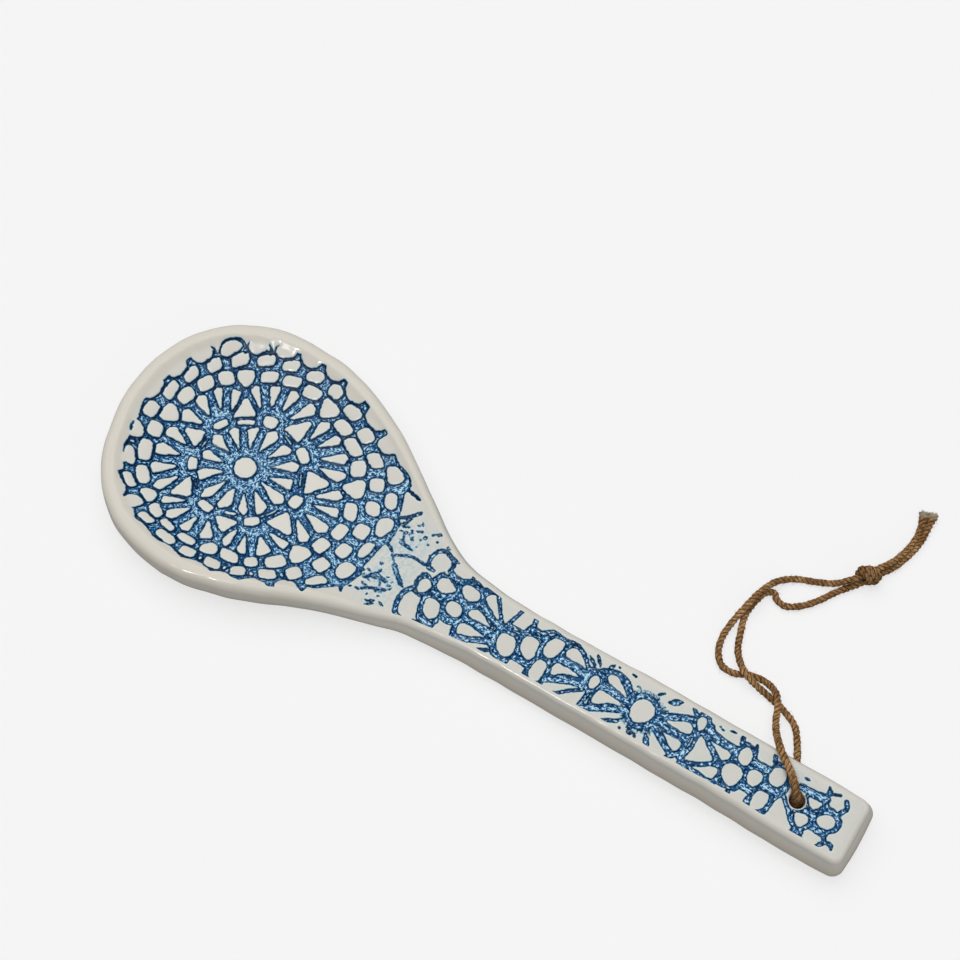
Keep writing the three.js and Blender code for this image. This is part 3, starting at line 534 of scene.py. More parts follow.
class SpoonSizes(bpy.types.PropertyGroup):
    """Sizes of the fired spoon, as its solid has them."""

    bowl_width: length("Bowl width", "Across the rim of the bowl", 0.0846)
    tip_reach: length("Tip reach", "From the bowl's middle to its tip", -BODY_LOW.x - BOWL_DRAFT * MM)
    bowl_offset: length("Bowl offset", "How far the bowl lies to one side of the handle", 0.0056)
    rim_height: length("Rim height", "From the table to the bowl's rim", BODY_HIGH.z)
    bowl_depth: length("Bowl depth", "From the rim down to the dish's floor", 0.008)
    rim_edge: length("Rim edge radius", "Rounding of the bowl's rim", 0.0031)
    bowl_foot: length("Bowl foot radius", "Rounding under the bowl's wall", 0.0075)
    handle_reach: length(
        "Handle reach", "From the bowl's middle to the handle's end", BODY_HIGH.x - HANDLE_DRAFT * MM
    )
    handle_width: length("Handle width", "Across the handle's top at the neck", 0.02)
    handle_thickness: length("Handle thickness", "From the handle's underside to its top", 0.0094)
    handle_lift: length("Handle lift", "Gap between the handle's end and the table", 0.0028)
    handle_edge: length("Handle edge radius", "Rounding of the handle's upper edge", 0.002)
    handle_foot: length("Handle foot radius", "Rounding of the handle's lower edge", 0.0025)
    hole_diameter: length("Hole diameter", "Width of the hole for the twine", 0.0046)
    lace_depth: length("Lace depth", "How deep the threads were pressed into the clay", 0.00045)
    mesh_step: length("Mesh step", "Spacing of the mesh on the patterned face", 0.00036)


class GlazeLooks(bpy.types.PropertyGroup):
    """Colours of the glaze and the lace's pigment, and the painted light and shade on the glaze."""

    glaze: colour("Glaze", "Off-white glaze", (0.77, 0.75, 0.685))
    # Painted light: the glaze in the bowl is painted lighter than on the handle, standing in for light in
    # the bowl
    glaze_bowl: colour("Bowl glaze", "Whiter glaze that lies thick in the bowl", (0.85, 0.825, 0.755))
    glaze_thick: colour("Pooled glaze", "Cooler glaze where it pooled", (0.72, 0.73, 0.685))
    # Partly thin warm glaze on edges and walls, partly painted light: brightened so the rim and upper walls
    # look lit
    bare_edge: colour("Thin glaze", "Warm clay that shows through on edges and sides", (0.84, 0.795, 0.7))
    # Painted shade: the walls are painted darker towards their foot and on the underside
    glaze_side: colour("Side glaze", "Greyer glaze low on the walls", (0.64, 0.575, 0.48))
    # Painted highlight: a white halo just outside each thread, standing in for light on the cells' rounded
    # edges
    glaze_crest: colour("Crest glaze", "White glaze on the cells' raised edges", (0.95, 0.95, 0.92))
    pigment_dark: colour("Dark pigment", "Blue along the threads' edges", (0.0, 0.016, 0.062))
    pigment_mid: colour("Middle pigment", "Blue inside the broad bands", (0.001, 0.116, 0.325))
    pigment_pale: colour("Pale pigment", "Blue on the tops of the stitches", (0.56, 0.85, 1.0))
    wash: colour("Wash", "Thin blue that ran beside the threads", (0.36, 0.62, 0.73))
    gloss: amount("Roughness", "Roughness of the glaze", 0.16)


class TwineLooks(bpy.types.PropertyGroup):
    """Make and colours of the jute twine, with its painted shade."""

    diameter: length("Twine diameter", "Across the plies", 0.0021)
    lay_length: length("Lay", "Length of one full turn of the plies", 0.0044)
    plies: IntProperty(name="Plies", description="Yarns twisted into the twine", default=3, min=2, max=4)
    hairs: amount("Hairs", "Loose fibres on each centimetre", 18)
    # Darkest random fibre tone, and the colour of the painted shade between the plies, on the knot and in
    # the hole
    dark: colour("Dark fibre", "Brown between the plies", (0.055, 0.023, 0.007))
    middle: colour("Fibre", "Brown of most fibres", (0.37, 0.18, 0.063))
    pale: colour("Pale fibre", "Tan of the fibres that catch the light", (0.82, 0.52, 0.25))
    cut: colour("Cut end", "Grey-beige of the cut ends", (0.5, 0.43, 0.32))


class StageLooks(bpy.types.PropertyGroup):
    """Camera, floor and light."""

    elevation: angle("Elevation", "Camera's angle above the table", 65)
    turn: angle("Turn", "Camera's turn about the vertical", 32.1)
    distance: length("Distance", "From the camera to the point it looks at", 0.6)
    focal: amount("Focal length", "Lens on a 36 mm sensor", 74.7)
    floor: colour("Floor", "Plain pale floor", (0.28, 0.28, 0.28))
    floor_glow: amount("Floor glow", "Light that the floor itself gives, as a lit sweep does", 0.68)
    key: amount("Key light", "Strength of the large soft light", 1.82)
    front: amount("Front light", "Strength of the soft light on the camera's side", 0.42)
    glint: amount("Glint light", "Power of the small lamps that shine in the glaze", 2.6)
    key_spread: angle("Key spread", "How wide the soft light is", 70)
    fill: amount("Fill light", "Strength of the light from all round", 0.2)


def smooth(x, start, span):
    """Smooth rise from 0 at start to 1 after span."""
    t = np.clip((np.asarray(x, float) - start) / span, 0.0, 1.0)
    return t * t * (3.0 - 2.0 * t)


def mix(a, b, share):
    """A value between a and b."""
    return a + (b - a) * share


def circle(count):
    """Points on a circle of radius 1."""
    turns = 2 * math.pi * np.arange(count) / count
    return np.column_stack([np.cos(turns), np.sin(turns)])


def through(points, steps, closed=False):
    """Smooth curve through points, steps to each stretch."""
    p = np.asarray(points, float)
    if closed:
        ends = np.vstack([p[-1:], p, p[:2]])
    else:
        ends = np.vstack([2 * p[:1] - p[1:2], p, 2 * p[-1:] - p[-2:-1]])
    t = (np.arange(steps) / steps)[:, None]
    parts = []
    for a, b, c, d in zip(ends, ends[1:], ends[2:], ends[3:]):
        ab, bc, cd = (max(math.sqrt(np.linalg.norm(q - r)), 1e-4) for q, r in ((b, a), (c, b), (d, c)))
        v0 = ((b - a) / ab - (c - a) / (ab + bc) + (c - b) / bc) * bc
        v1 = ((c - b) / bc - (d - b) / (bc + cd) + (d - c) / cd) * bc
        parts.append((2 * b - 2 * c + v0 + v1) * t**3 + (3 * c - 3 * b - 2 * v0 - v1) * t**2 + v0 * t + b)
    if not closed:
        parts.append(p[-1:])
    return np.vstack(parts)


def even(points, step, closed=False):
    """The same line with its points a step apart."""
    p = np.vstack([points, points[:1]]) if closed else np.asarray(points)
    run = np.concatenate([[0], np.cumsum(np.linalg.norm(np.diff(p, axis=0), axis=1))])
    count = max(2, int(round(run[-1] / step)) + 1)
    at = np.linspace(0, run[-1], count)
    if closed:
        at = at[:-1]
    return np.column_stack([np.interp(at, run, p[:, i]) for i in range(p.shape[1])])


def inside(points, loop):
    """Whether each point lies inside a closed loop."""
    x, y = points.T
    crossed = np.zeros(len(points), int)
    for a, b in zip(loop, np.roll(loop, -1, axis=0)):
        if a[1] != b[1]:
            level = a[0] + (y - a[1]) / (b[1] - a[1]) * (b[0] - a[0])
            crossed += ((a[1] > y) != (b[1] > y)) & (x < level)
    return crossed % 2 == 1


def band(first, second, count):
    """Faces between two closed rings of points, given by the numbers of their first points."""
    after = [(i + 1) % count for i in range(count)]
    return [[first + i, first + k, second + k, second + i] for i, k in enumerate(after)]


def ripples(rows, xy, waves=9):
    """Smooth unevenness: for each height, seed and wavelength a few waves in seeded directions."""
    total = 0
    for height, seed, wavelength in rows:
        draw = np.random.default_rng(seed)
        turn = draw.uniform(0, 2 * math.pi, waves)
        size = 2 * math.pi / (wavelength * draw.uniform(0.7, 1.5, waves))
        wave = np.vstack([np.cos(turn), np.sin(turn)]) * size
        phase = draw.uniform(0, 2 * math.pi, waves)
        total = total + height * (np.sin(xy @ wave + phase).sum(1) / math.sqrt(waves / 2))
    return total


class SpoonForm:
    """Plan and section of the spoon, in millimetres."""

    TIP_POINTS, NECK_STEPS, HANDLE_POINTS, CORNER_POINTS = 200, 16, 100, 14
    OUTLINE_STEP = 0.7
    # Unevenness of the cut edge: height, seed, wavelength
    EDGE_WOBBLE = [(0.08, 3, 34), (0.04, 4, 9)]
    TIP_END = 4
    LIP_START, LIP_SPAN = 0.93, 0.06

    def __init__(self, sizes):
        for key in SpoonSizes.__annotations__:
            setattr(self, key, getattr(sizes, key) / MM)
        self.bowl_half, self.handle_half = self.bowl_width / 2, self.handle_width / 2
        self.hole_radius = self.hole_diameter / 2
        self.hole = np.array([self.handle_reach - HOLE_FROM_END, 0.0])
        self.draw_outline()

    def neck_share(self, x):
        """0 in the bowl, 1 on the handle."""
        return smooth(x, NECK_DIP_START, NECK_DIP_LENGTH)

    def lift(self, x):
        """Height of the underside above the table."""
        return self.handle_lift * smooth(x, LIFT_START, LIFT_LENGTH)

    def rim(self, x):
        """Height of the upper edge."""
        return mix(self.rim_height, self.handle_thickness, self.neck_share(x)) + self.lift(x)

    def depth(self, x):
        """Depth of the dish below the upper edge."""
        return self.bowl_depth * (1 - self.neck_share(x))

    def offset(self, x):
        """How far the spine lies to one side of the handle's line."""
        fade = 1 - smooth(x, OFFSET_FADE_START, OFFSET_FADE_LENGTH)
        return self.bowl_offset * fade + BOWL_SLANT * np.maximum(0, -np.asarray(x, float))

    def edge_radius(self, x):
        """Rounding of the upper edge."""
        return mix(self.rim_edge, self.handle_edge, self.neck_share(x))

    def foot_radius(self, x):
        """Rounding of the lower edge."""
        return mix(self.bowl_foot, self.handle_foot, smooth(x, FOOT_FADE_START, FOOT_FADE_LENGTH))

    def draft(self, x):
        """How far the wall leans out towards its foot."""
        return mix(BOWL_DRAFT, HANDLE_DRAFT, smooth(x, FOOT_FADE_START, FOOT_FADE_LENGTH))

    def side(self):
        """One side from the bowl's tip to the middle of the handle's end: x and half width."""
        turn = np.linspace(0, math.pi / 2, self.TIP_POINTS, endpoint=False)
        power = 2 / BOWL_ROUNDNESS
        tip_x, tip_y = -self.tip_reach * np.cos(turn) ** power, self.bowl_half * np.sin(turn) ** power
        tip = np.column_stack([tip_x, tip_y])
        shares = np.array(NECK_PROFILE, float)
        half = mix(self.handle_half, self.bowl_half, shares[:, 1])
        neck = through(np.column_stack([shares[:, 0] * NECK_LENGTH, half]), self.NECK_STEPS)
        corner_x = self.handle_reach - CORNER_RADIUS
        x = np.linspace(NECK_LENGTH, corner_x, self.HANDLE_POINTS)[1:]
        half = self.handle_half + HANDLE_FLARE / 2 * (x - NECK_LENGTH) / (self.handle_reach - NECK_LENGTH)
        corner_y = half[-1] - CORNER_RADIUS
        turn = np.linspace(0, math.pi / 2, self.CORNER_POINTS)[1:]
        corner = [corner_x + CORNER_RADIUS * np.sin(turn), corner_y + CORNER_RADIUS * np.cos(turn)]
        end = [(self.handle_reach, corner_y / 2), (self.handle_reach, 0)]
        return np.vstack([tip, neck, np.column_stack([x, half]), np.column_stack(corner), end])

    def draw_outline(self):
        """The closed edge in plan, and for each of its points the spine point its section runs to."""
        side = self.side()
        far = np.column_stack([side[:, 0], self.offset(side[:, 0]) + side[:, 1]])
        near = np.column_stack([side[:, 0], self.offset(side[:, 0]) - side[:, 1]])
        loop = even(np.vstack([far, near[1:-1][::-1]]), self.OUTLINE_STEP, closed=True)
        self.x = loop[:, 0]
        spine_x = np.clip(self.x, 0, self.handle_reach - self.handle_half)
        self.spine = np.column_stack([spine_x, self.offset(spine_x)])
        ray = loop - self.spine
        span = np.linalg.norm(ray, axis=1)
        turn = np.degrees(np.arctan2(loop[:, 1] - self.offset(0.0), loop[:, 0]))
        stray = np.interp(turn, *zip(*EDGE_STRAY), period=360)
        stray = stray * (1 - smooth(self.x, STRAY_FADE_START, STRAY_FADE_LENGTH))
        wobble = ripples(self.EDGE_WOBBLE, loop) + stray
        self.edge = loop + ray / span[:, None] * wobble[:, None]
        self.span = span + wobble

    def ring(self, inset, height):
        """Points at an inset from the edge, along the rays to the spine."""
        place = self.edge + (self.spine - self.edge) * (inset / self.span)[:, None]
        return np.column_stack([place, np.broadcast_to(height, len(place))])

    def share(self, xy):
        """How far out from the spine a point lies, 0 to 1 at the rim's inner edge."""
        x, y = xy.T
        room = self.span - self.edge_radius(self.x)
        middle = np.array([0.0, self.offset(0.0)])
        tip = self.x < self.TIP_END
        turns = np.arctan2(*(self.edge[tip] - middle).T[::-1])
        order = np.argsort(turns)
        turn = np.arctan2(y - middle[1], x - middle[0])
        tip_room = np.interp(turn, turns[order], room[tip][order], period=2 * math.pi)
        tip_share = np.hypot(x - middle[0], y - middle[1]) / tip_room
        far = self.edge[:, 1] > self.spine[:, 1]
        side_share = np.zeros(len(x))
        for mask, here in ((far, y >= self.offset(x)), (~far, y < self.offset(x))):
            order = np.argsort(self.x[mask])
            side_room = np.interp(x, self.x[mask][order], room[mask][order])
            side_share = np.where(here, np.abs(y - self.offset(x)) / side_room, side_share)
        return np.where(x < 0, tip_share, side_share)

    def top(self, xy):
        """Height of the upper face before the lace is pressed in."""
        share = np.clip(self.share(xy) / RIM_SHARE, 0, 1)
        x = xy[:, 0]
        lip = LIP_STEP * (1 - smooth(share, self.LIP_START, self.LIP_SPAN)) * (1 - self.neck_share(x))
        return self.rim(x) - self.depth(x) * (1 - share ** DISH_POWER) - lip


class Lace:
    """The pressed lace in plan: the mat's blue ground, threads beyond it and the white cells between."""

    # How far from a thread or cell its depth is worked out, and how softly threads run together
    REACH, BLEND = 2.6, 0.3
    # Width of the thread round a cell, and half the least thread between two cells
    RING, LINE = 0.95, 0.36
    # Radius of the mat's eye, and how far its ground reaches past the drawn edge
    EYE, HEM = 3.5, 0.15
    # A stroke that thins to its tips: greatest half width, least length in half widths, greatest length
    LOOSE_HALF, LOOSE_SHORT, LOOSE_LONG = 0.96, 3.5, 4.9
    TIP, TIP_START, TIP_SPAN = 0.4, 0.3, 0.7
    CIRCLE_POINTS, CELL_STEPS, THREAD_STEPS = 12, 4, 5
    # Share of a side that a window's corner loses, half width of the flower's ring, length of a dot
    CORNER_CUT, FLOWER_HALF, DOT_RUN = 0.16, 0.85, 0.05
    # How far the threads stray: height, wavelength, seeds
    SWAY = (0.05, 5, (11, 12))
    JITTER = (0.06, 1.3, (13, 14))
    SPRAY_SEED = 51
    # Prongs round the flower: degrees between them, stray, start and stop beyond its ring, half width
    PRONG_TURN, PRONG_STRAY = 11, 4
    PRONG_START, PRONG_STOP, PRONG_MORE = 0.5, 1.2, 1.9
    PRONG_HALF = (0.16, 0.28)
    # Specks on the neck: stray in radians, half length, half width
    SPECK_STRAY = 0.5
    SPECK_RUN = (0.15, 0.6)
    SPECK_HALF = (0.13, 0.26)

    def __init__(self):
        around = circle(self.CIRCLE_POINTS)
        cells = [LACE_MIDDLE + self.EYE * around]
        cells += [self.polar(self.pebble(*row)) for row in MAT_PEBBLES]
        cells += [self.cornered(self.polar(points)) for points in MAT_WINDOWS]
        cells += [self.polar(points) for points in MAT_BAYS] + PLAN_GAPS
        self.ringed = len(cells)
        self.cells = [through(points, self.CELL_STEPS, closed=True) for points in cells + PLAN_CELLS]
        self.threads = [(half, through(points, self.THREAD_STEPS)) for half, points in PLAN_THREADS]
        self.threads += [(half, np.array([(x, y), (x + self.DOT_RUN, y)])) for x, y, half in PLAN_DOTS]
        self.hooks = [(half, through(self.polar(points), self.THREAD_STEPS)) for half, points in MAT_HOOKS]
        ring = through(FLOWER + FLOWER_RING * around, self.CELL_STEPS, closed=True)
        self.threads.append((self.FLOWER_HALF, np.vstack([ring, ring[:1]])))
        self.spray()

    @staticmethod
    def polar(points):
        """Places in plan of points given by angle and radius about the mat's middle."""
        turn, radius = np.transpose(points)
        turn = np.radians(turn)
        return LACE_MIDDLE + np.column_stack([radius * np.cos(turn), radius * np.sin(turn)])

    @staticmethod
    def pebble(turn, half_turn, radius, half, lean=0, point=0):
        """Eight points round a rounded cell."""
        shoulder = -0.8 + 0.2 * min(point, 1)
        shape = [
            (1, 0), (0.83, 0.8), (0, 1), (-0.83, 0.8),
            (-1, 0), (-0.83, shoulder), (0, -1 - point / half), (0.83, shoulder),
        ]
        return [(turn + u * half_turn, radius + v * half + lean * u * half_turn) for u, v in shape]

    def cornered(self, points):
        """An outline with its corners cut, so that a smooth curve through it keeps its sides straight."""
        ends = np.roll(points, -1, axis=0)
        cuts = [mix(points, ends, share) for share in (self.CORNER_CUT, 0.5, 1 - self.CORNER_CUT)]
        return np.stack(cuts, axis=1).reshape(-1, 2)

    @staticmethod
    def gap(xy, line, room):
        """The points near a line, how far from it they lie and how far along it, from 0 to 1."""
        near = np.flatnonzero(((xy > line.min(0) - room) & (xy < line.max(0) + room)).all(1))
        p, best, along = xy[near], np.full(len(near), FAR), np.zeros(len(near))
        for number, (a, b) in enumerate(zip(line, line[1:])):
            run = b - a
            t = np.clip((p - a) @ run / max(run @ run, 1e-9), 0, 1)
            here = np.hypot(*(p - a - t[:, None] * run).T)
            along = np.where(here < best, (number + t) / (len(line) - 1), along)
            best = np.minimum(best, here)
        return near, best, along

    def loose(self, half, line):
        """Whether a thread is a short stroke, which thins towards its ends."""
        run = np.linalg.norm(np.diff(line, axis=0), axis=1).sum()
        return half < self.LOOSE_HALF and self.LOOSE_SHORT * half < run < self.LOOSE_LONG

    def spray(self):
        """Fine strokes: prongs round the flower and pigment that splashed over the neck."""
        draw = np.random.default_rng(self.SPRAY_SEED)
        for turn in np.arange(0, 360, self.PRONG_TURN):
            out = math.radians(turn + draw.uniform(-self.PRONG_STRAY, self.PRONG_STRAY))
            way = np.array([math.cos(out), math.sin(out)])
            start = FLOWER_RING + self.PRONG_START
            stop = FLOWER_RING + self.PRONG_STOP + self.PRONG_MORE * draw.uniform(0, 1) ** 2
            line = np.array([FLOWER + way * start, FLOWER + way * stop])
            self.threads.append((draw.uniform(*self.PRONG_HALF), line))
        for low, high, count in NECK_SPRAY:
            for place in draw.uniform(low, high, (count, 2)):
                out = np.arctan2(*(place - LACE_MIDDLE)[::-1]) + draw.normal(0, self.SPECK_STRAY)
                way = np.array([math.cos(out), math.sin(out)]) * draw.uniform(*self.SPECK_RUN)
                self.threads.append((draw.uniform(*self.SPECK_HALF), np.array([place - way, place + way])))

    @staticmethod
    def stray(xy, height, wavelength, seeds):
        """How far points are moved, along both axes."""
        return np.column_stack([ripples([(height, seed, wavelength)], xy) for seed in seeds])

    def depth(self, xy):
        """How far inside a thread each point lies; below 0 outside it."""
        xy = xy + self.stray(xy, *self.SWAY) + self.stray(xy, *self.JITTER)
        edge = np.array(MAT_EDGE, float)
        out = xy - LACE_MIDDLE
        turn = np.degrees(np.arctan2(out[:, 1], out[:, 0]))
        depth = np.interp(turn, edge[:, 0], edge[:, 1], period=360) + self.HEM - np.hypot(*out.T)
        self.lay_threads(depth, xy)
        depth = self.cut_cells(depth, xy)
        for half, line in self.hooks:
            near, gap, along = self.gap(xy, line, half + self.REACH)
            half = half * mix(self.TIP, 1, smooth(along, 0, self.TIP_SPAN))
            depth[near] = np.maximum(depth[near], half - gap)
        return np.clip(depth, -self.REACH, self.REACH)

    def lay_threads(self, depth, xy):
        """Join each thread softly to what lies there already."""
        for half, line in self.threads:
            near, gap, along = self.gap(xy, line, half + self.REACH)
            if self.loose(half, line):
                half = half * mix(1, self.TIP, smooth(np.abs(2 * along - 1), self.TIP_START, self.TIP_SPAN))
            a, b = depth[near], half - gap
            share = np.clip(0.5 + 0.5 * (b - a) / self.BLEND, 0, 1)
            depth[near] = mix(a, b, share) + self.BLEND * share * (1 - share)

    def cut_cells(self, depth, xy):
        """Cut the cells out, with a thread left between any two of them."""
        first, second = np.full(len(xy), FAR), np.full(len(xy), FAR)
        for number, cell in enumerate(self.cells):
            near, gap, _ = self.gap(xy, np.vstack([cell, cell[:1]]), self.REACH)
            room = np.where(inside(xy[near], cell), -gap, gap)
            second[near] = np.minimum(second[near], np.maximum(first[near], room))
            first[near] = np.minimum(first[near], room)
            if number >= self.ringed:
                depth[near] = np.maximum(depth[near], self.RING - room)
        wall = self.LINE - (second - first) / 2
        return np.minimum(depth, np.maximum(first, wall))


def halo(xy, middle, radius, spread):
    """1 on a circle about a middle, fading to 0 on both sides of it."""
    return np.exp(-((np.hypot(*(xy - middle).T) - radius) / spread) ** 2)


def lattice(low, high, limit, hole, hole_limit, step):
    """Square lattice inside a limit and off a hole: its points, and which of its cells are whole."""
    nx, ny = np.ceil((high - low) / step).astype(int) + 1
    xs, ys = low[0] + step * np.arange(nx), low[1] + step * np.arange(ny)
    keep = np.zeros((nx, ny), bool)
    ends = np.roll(limit, -1, axis=0)
    for column, x in zip(keep, xs):
        cross = (limit[:, 0] > x) != (ends[:, 0] > x)
        if cross.any():
            a, b = limit[cross], ends[cross]
            levels = np.sort(a[:, 1] + (x - a[:, 0]) / (b[:, 0] - a[:, 0]) * (b[:, 1] - a[:, 1]))
            column[:] = np.searchsorted(levels, ys) % 2 == 1
    gx, gy = np.meshgrid(xs, ys, indexing="ij")
    middle = hole.mean(0)
    keep &= np.hypot(gx - middle[0], gy - middle[1]) > hole_limit
    return np.stack([gx, gy], axis=-1), keep[:-1, :-1] & keep[1:, :-1] & keep[:-1, 1:] & keep[1:, 1:]


def open_sides(cells, number):
    """Sides of the lattice's cells with no cell beyond them, as pairs of point numbers."""
    padded = np.pad(cells, 1)
    seam = set()
    for i, j in zip(*np.nonzero(cells)):
        sides = [
            (padded[i + 1, j], (i, j), (i + 1, j)),
            (padded[i + 2, j + 1], (i + 1, j), (i + 1, j + 1)),
            (padded[i + 1, j + 2], (i + 1, j + 1), (i, j + 1)),
            (padded[i, j + 1], (i, j + 1), (i, j)),
        ]
        seam.update((number[p], number[q]) for beyond, p, q in sides if not beyond)
    return seam


def fill_plan(border, limit, hole, hole_limit, step):
    """Flat filling of a closed border round a hole: a square lattice, stitched to both edges.

    The border's points come first in the result, then the hole's."""
    low = border.min(0)
    grid, cells = lattice(low, border.max(0), limit, hole, hole_limit, step)
    nx, ny = cells.shape
    used = np.zeros((nx + 1, ny + 1), bool)
    for i, j in CELL_CORNERS:
        used[i:nx + i, j:ny + j] |= cells
    first = len(border) + len(hole)
    number = np.full(used.shape, -1)
    number[used] = first + np.arange(used.sum())
    ci, cj = np.nonzero(cells)
    faces = np.column_stack([number[ci + i, cj + j] for i, j in CELL_CORNERS]).tolist()
    points = np.vstack([border, hole, grid[used]])

    seam = open_sides(cells, number)
    names = list(range(first)) + sorted({n for pair in seam for n in pair})
    local = {n: k for k, n in enumerate(names)}
    edges = []
    for start, count in ((0, len(border)), (len(border), len(hole))):
        edges += [(start + i, start + (i + 1) % count) for i in range(count)]
    edges += [(local[a], local[b]) for a, b in seam]
    places = [Vector(points[n]) for n in names]
    _, _, triangles, origin, _, _ = delaunay_2d_cdt(places, edges, [], 0, STITCH_TOLERANCE)
    back = [names[o[0]] for o in origin]
    stitched = np.array([[back[k] for k in t] for t in triangles])

    centre = points[stitched].mean(1)
    cell = np.clip(np.floor((centre - low) / step).astype(int), 0, np.array(cells.shape) - 1)
    kept = inside(centre[:, ::-1], border[:, ::-1]) & ~cells[cell[:, 0], cell[:, 1]]
    middle = hole.mean(0)
    kept &= np.hypot(*(centre - middle).T) > np.hypot(*(hole - middle).T).min() * HOLE_SLACK
    return points, faces + stitched[kept].tolist()


def new_object(name, points, faces, material, layers):
    """A smooth mesh object from points in millimetres, with layers of named values on each point."""
    mesh = bpy.data.meshes.new(name)
    mesh.from_pydata((np.asarray(points) * MM).tolist(), [], faces)
    mesh.update()
    for label, values in layers:
        kind, key = ("FLOAT", "value") if values.ndim == 1 else ("FLOAT_VECTOR", "vector")
        layer = mesh.attributes.new(label, kind, "POINT")
        layer.data.foreach_set(key, values.astype(np.float32).ravel())
    work = bmesh.new()
    work.from_mesh(mesh)
    bmesh.ops.recalc_face_normals(work, faces=work.faces)
    work.to_mesh(mesh)
    work.free()
    mesh.polygons.foreach_set("use_smooth", [True] * len(mesh.polygons))
    mesh.materials.append(material)
    piece = bpy.data.objects.new(name, mesh)
    bpy.context.scene.collection.objects.link(piece)
    return piece


class Nodes:
    """Short hand for building a node tree."""

    def __init__(self, tree):
        self.tree = tree

    def add(self, kind, **settings):
        """A new node with its settings."""
        node = self.tree.nodes.new(kind)
        for key, value in settings.items():
            setattr(node, key, value)
        return node

    def link(self, source, target):
        """A link from an output to an input."""
        self.tree.links.new(source, target)

    def fill(self, node, keys, values):
        """Values, or other nodes' outputs, into a node's sockets."""
        for key, value in zip(keys, values):
            if isinstance(value, bpy.types.NodeSocket):
                self.link(value, node.inputs[key])
            else:
                node.inputs[key].default_value = value
        return node

    def math(self, operation, *values):
        """A sum, product or the like of values."""
        node = self.add("ShaderNodeMath", operation=operation)
        return self.fill(node, range(len(values)), values).outputs[0]

    def rise(self, value, start, stop, low=0.0, high=1.0):
        """Smooth step of a value between two levels."""
        node = self.add("ShaderNodeMapRange", interpolation_type="SMOOTHSTEP")
        keys = ("Value", "From Min", "From Max", "To Min", "To Max")
        return self.fill(node, keys, (value, start, stop, low, high)).outputs[0]

    def blend(self, share, first, second):
        """A colour between two others."""
        node = self.add("ShaderNodeMix", data_type="RGBA")
        return self.fill(node, (0, 6, 7), (share, first, second)).outputs[2]

    def noise(self, vector, scale, detail, rough):
        """Soft noise at a place."""
        node = self.add("ShaderNodeTexNoise")
        keys = ("Vector", "Scale", "Detail", "Roughness")
        return self.fill(node, keys, (vector, scale, detail, rough)).outputs["Fac"]

    def attribute(self, name, output="Fac"):
        """A value that the mesh has on each point."""
        return self.add("ShaderNodeAttribute", attribute_name=name).outputs[output]

    def bump(self, height, strength, distance):
        """A normal tilted by a height."""
        keys = ("Height", "Strength", "Distance")
        return self.fill(self.add("ShaderNodeBump"), keys, (height, strength, distance)).outputs["Normal"]


def new_material(name):
    """A new material, its node builder and its shader."""
    material = bpy.data.materials.new(name)
    material.use_nodes = True
    nodes = Nodes(material.node_tree)
    return material, nodes, material.node_tree.nodes["Principled BSDF"]


def mottle_group():
    """Two sizes of soft blotches in one value, for glaze, fibre and floor."""
    found = bpy.data.node_groups.get("Soft mottle")
    if found:
        return found
    group = bpy.data.node_groups.new("Soft mottle", "ShaderNodeTree")
    group.interface.new_socket("Vector", in_out="INPUT", socket_type="NodeSocketVector")
    for name, default in (("Broad", 40.0), ("Fine", 300.0), ("Share", 0.5)):
        socket = group.interface.new_socket(name, in_out="INPUT", socket_type="NodeSocketFloat")
        socket.default_value = default
    group.interface.new_socket("Value", in_out="OUTPUT", socket_type="NodeSocketFloat")
    nodes = Nodes(group)
    source, sink = nodes.add("NodeGroupInput"), nodes.add("NodeGroupOutput")
    vector, broad, fine, share = (source.outputs[name] for name in ("Vector", "Broad", "Fine", "Share"))
    noises = [nodes.noise(vector, scale, *MOTTLE_GRAIN) for scale in (broad, fine)]
    blend = nodes.fill(nodes.add("ShaderNodeMix", data_type="FLOAT"), (0, 2, 3), (share, *noises))
    nodes.link(blend.outputs[0], sink.inputs["Value"])
    return group


def mottle(nodes, vector, broad, fine, share):
    """The blotch group placed in a material."""
    node = nodes.add("ShaderNodeGroup")
    node.node_tree = mottle_group()
    keys = ("Vector", "Broad", "Fine", "Share")
    return nodes.fill(node, keys, (vector, broad, fine, share)).outputs["Value"]


class GlazeLevels:
    """Where the glaze's tones start and stop, in millimetres inside a thread or shares of a noise."""

    PAINT = (-0.17, -0.02)
    FRINGE = (-0.4, -0.17)
    # Next: where the painted highlight beside each thread lies
    CREST = (-0.62, -0.28)
    INNER = (0.1, 0.38)
    BROAD = (0.2, 1.3)
    MIDDLE_BLUE = (0.39, 0.49)
    PALE_BLUE = (0.555, 0.625)
    POOLED = (0.35, 0.65)
    SPLASH = (0.45, 0.58)
    GLOSS = (0.3, 0.7)
    # Noises: scale, detail, roughness
    FINE_GRAIN = (1900, 3, 0.65)
    STITCH_GRAIN = (1150, 2, 0.55)
    SPLASH_GRAIN = (950, 3, 0.65)
    PATCHES = (55, 420, 0.35)
    # How ragged the pigment's edge is, and how much more where the pigment ran
    RAGGED, RUN_RAGGED = 0.3, 1.5
    # How far a millimetre into a thread moves the streaks' noise, so that they follow the thread
    STREAK_SHIFT = 0.0028
    # Shares of the effects
    POOL_EDGE, POOL_BLUE, BROAD_BLUE = -0.1, -0.04, 0.1
    BLUR_INNER, WASH_INNER = 0.6, 1.2
    CREST_SHARE, FRINGE_SHARE = 0.6, 0.95
    GLOSS_SHARES, PAINT_ROUGH = (0.8, 1.3), 0.12
    STITCH_HEIGHT, PAINT_HEIGHT = 1.2, -0.5
    BUMP_STRENGTH, BUMP_DISTANCE = 0.35, 0.0002


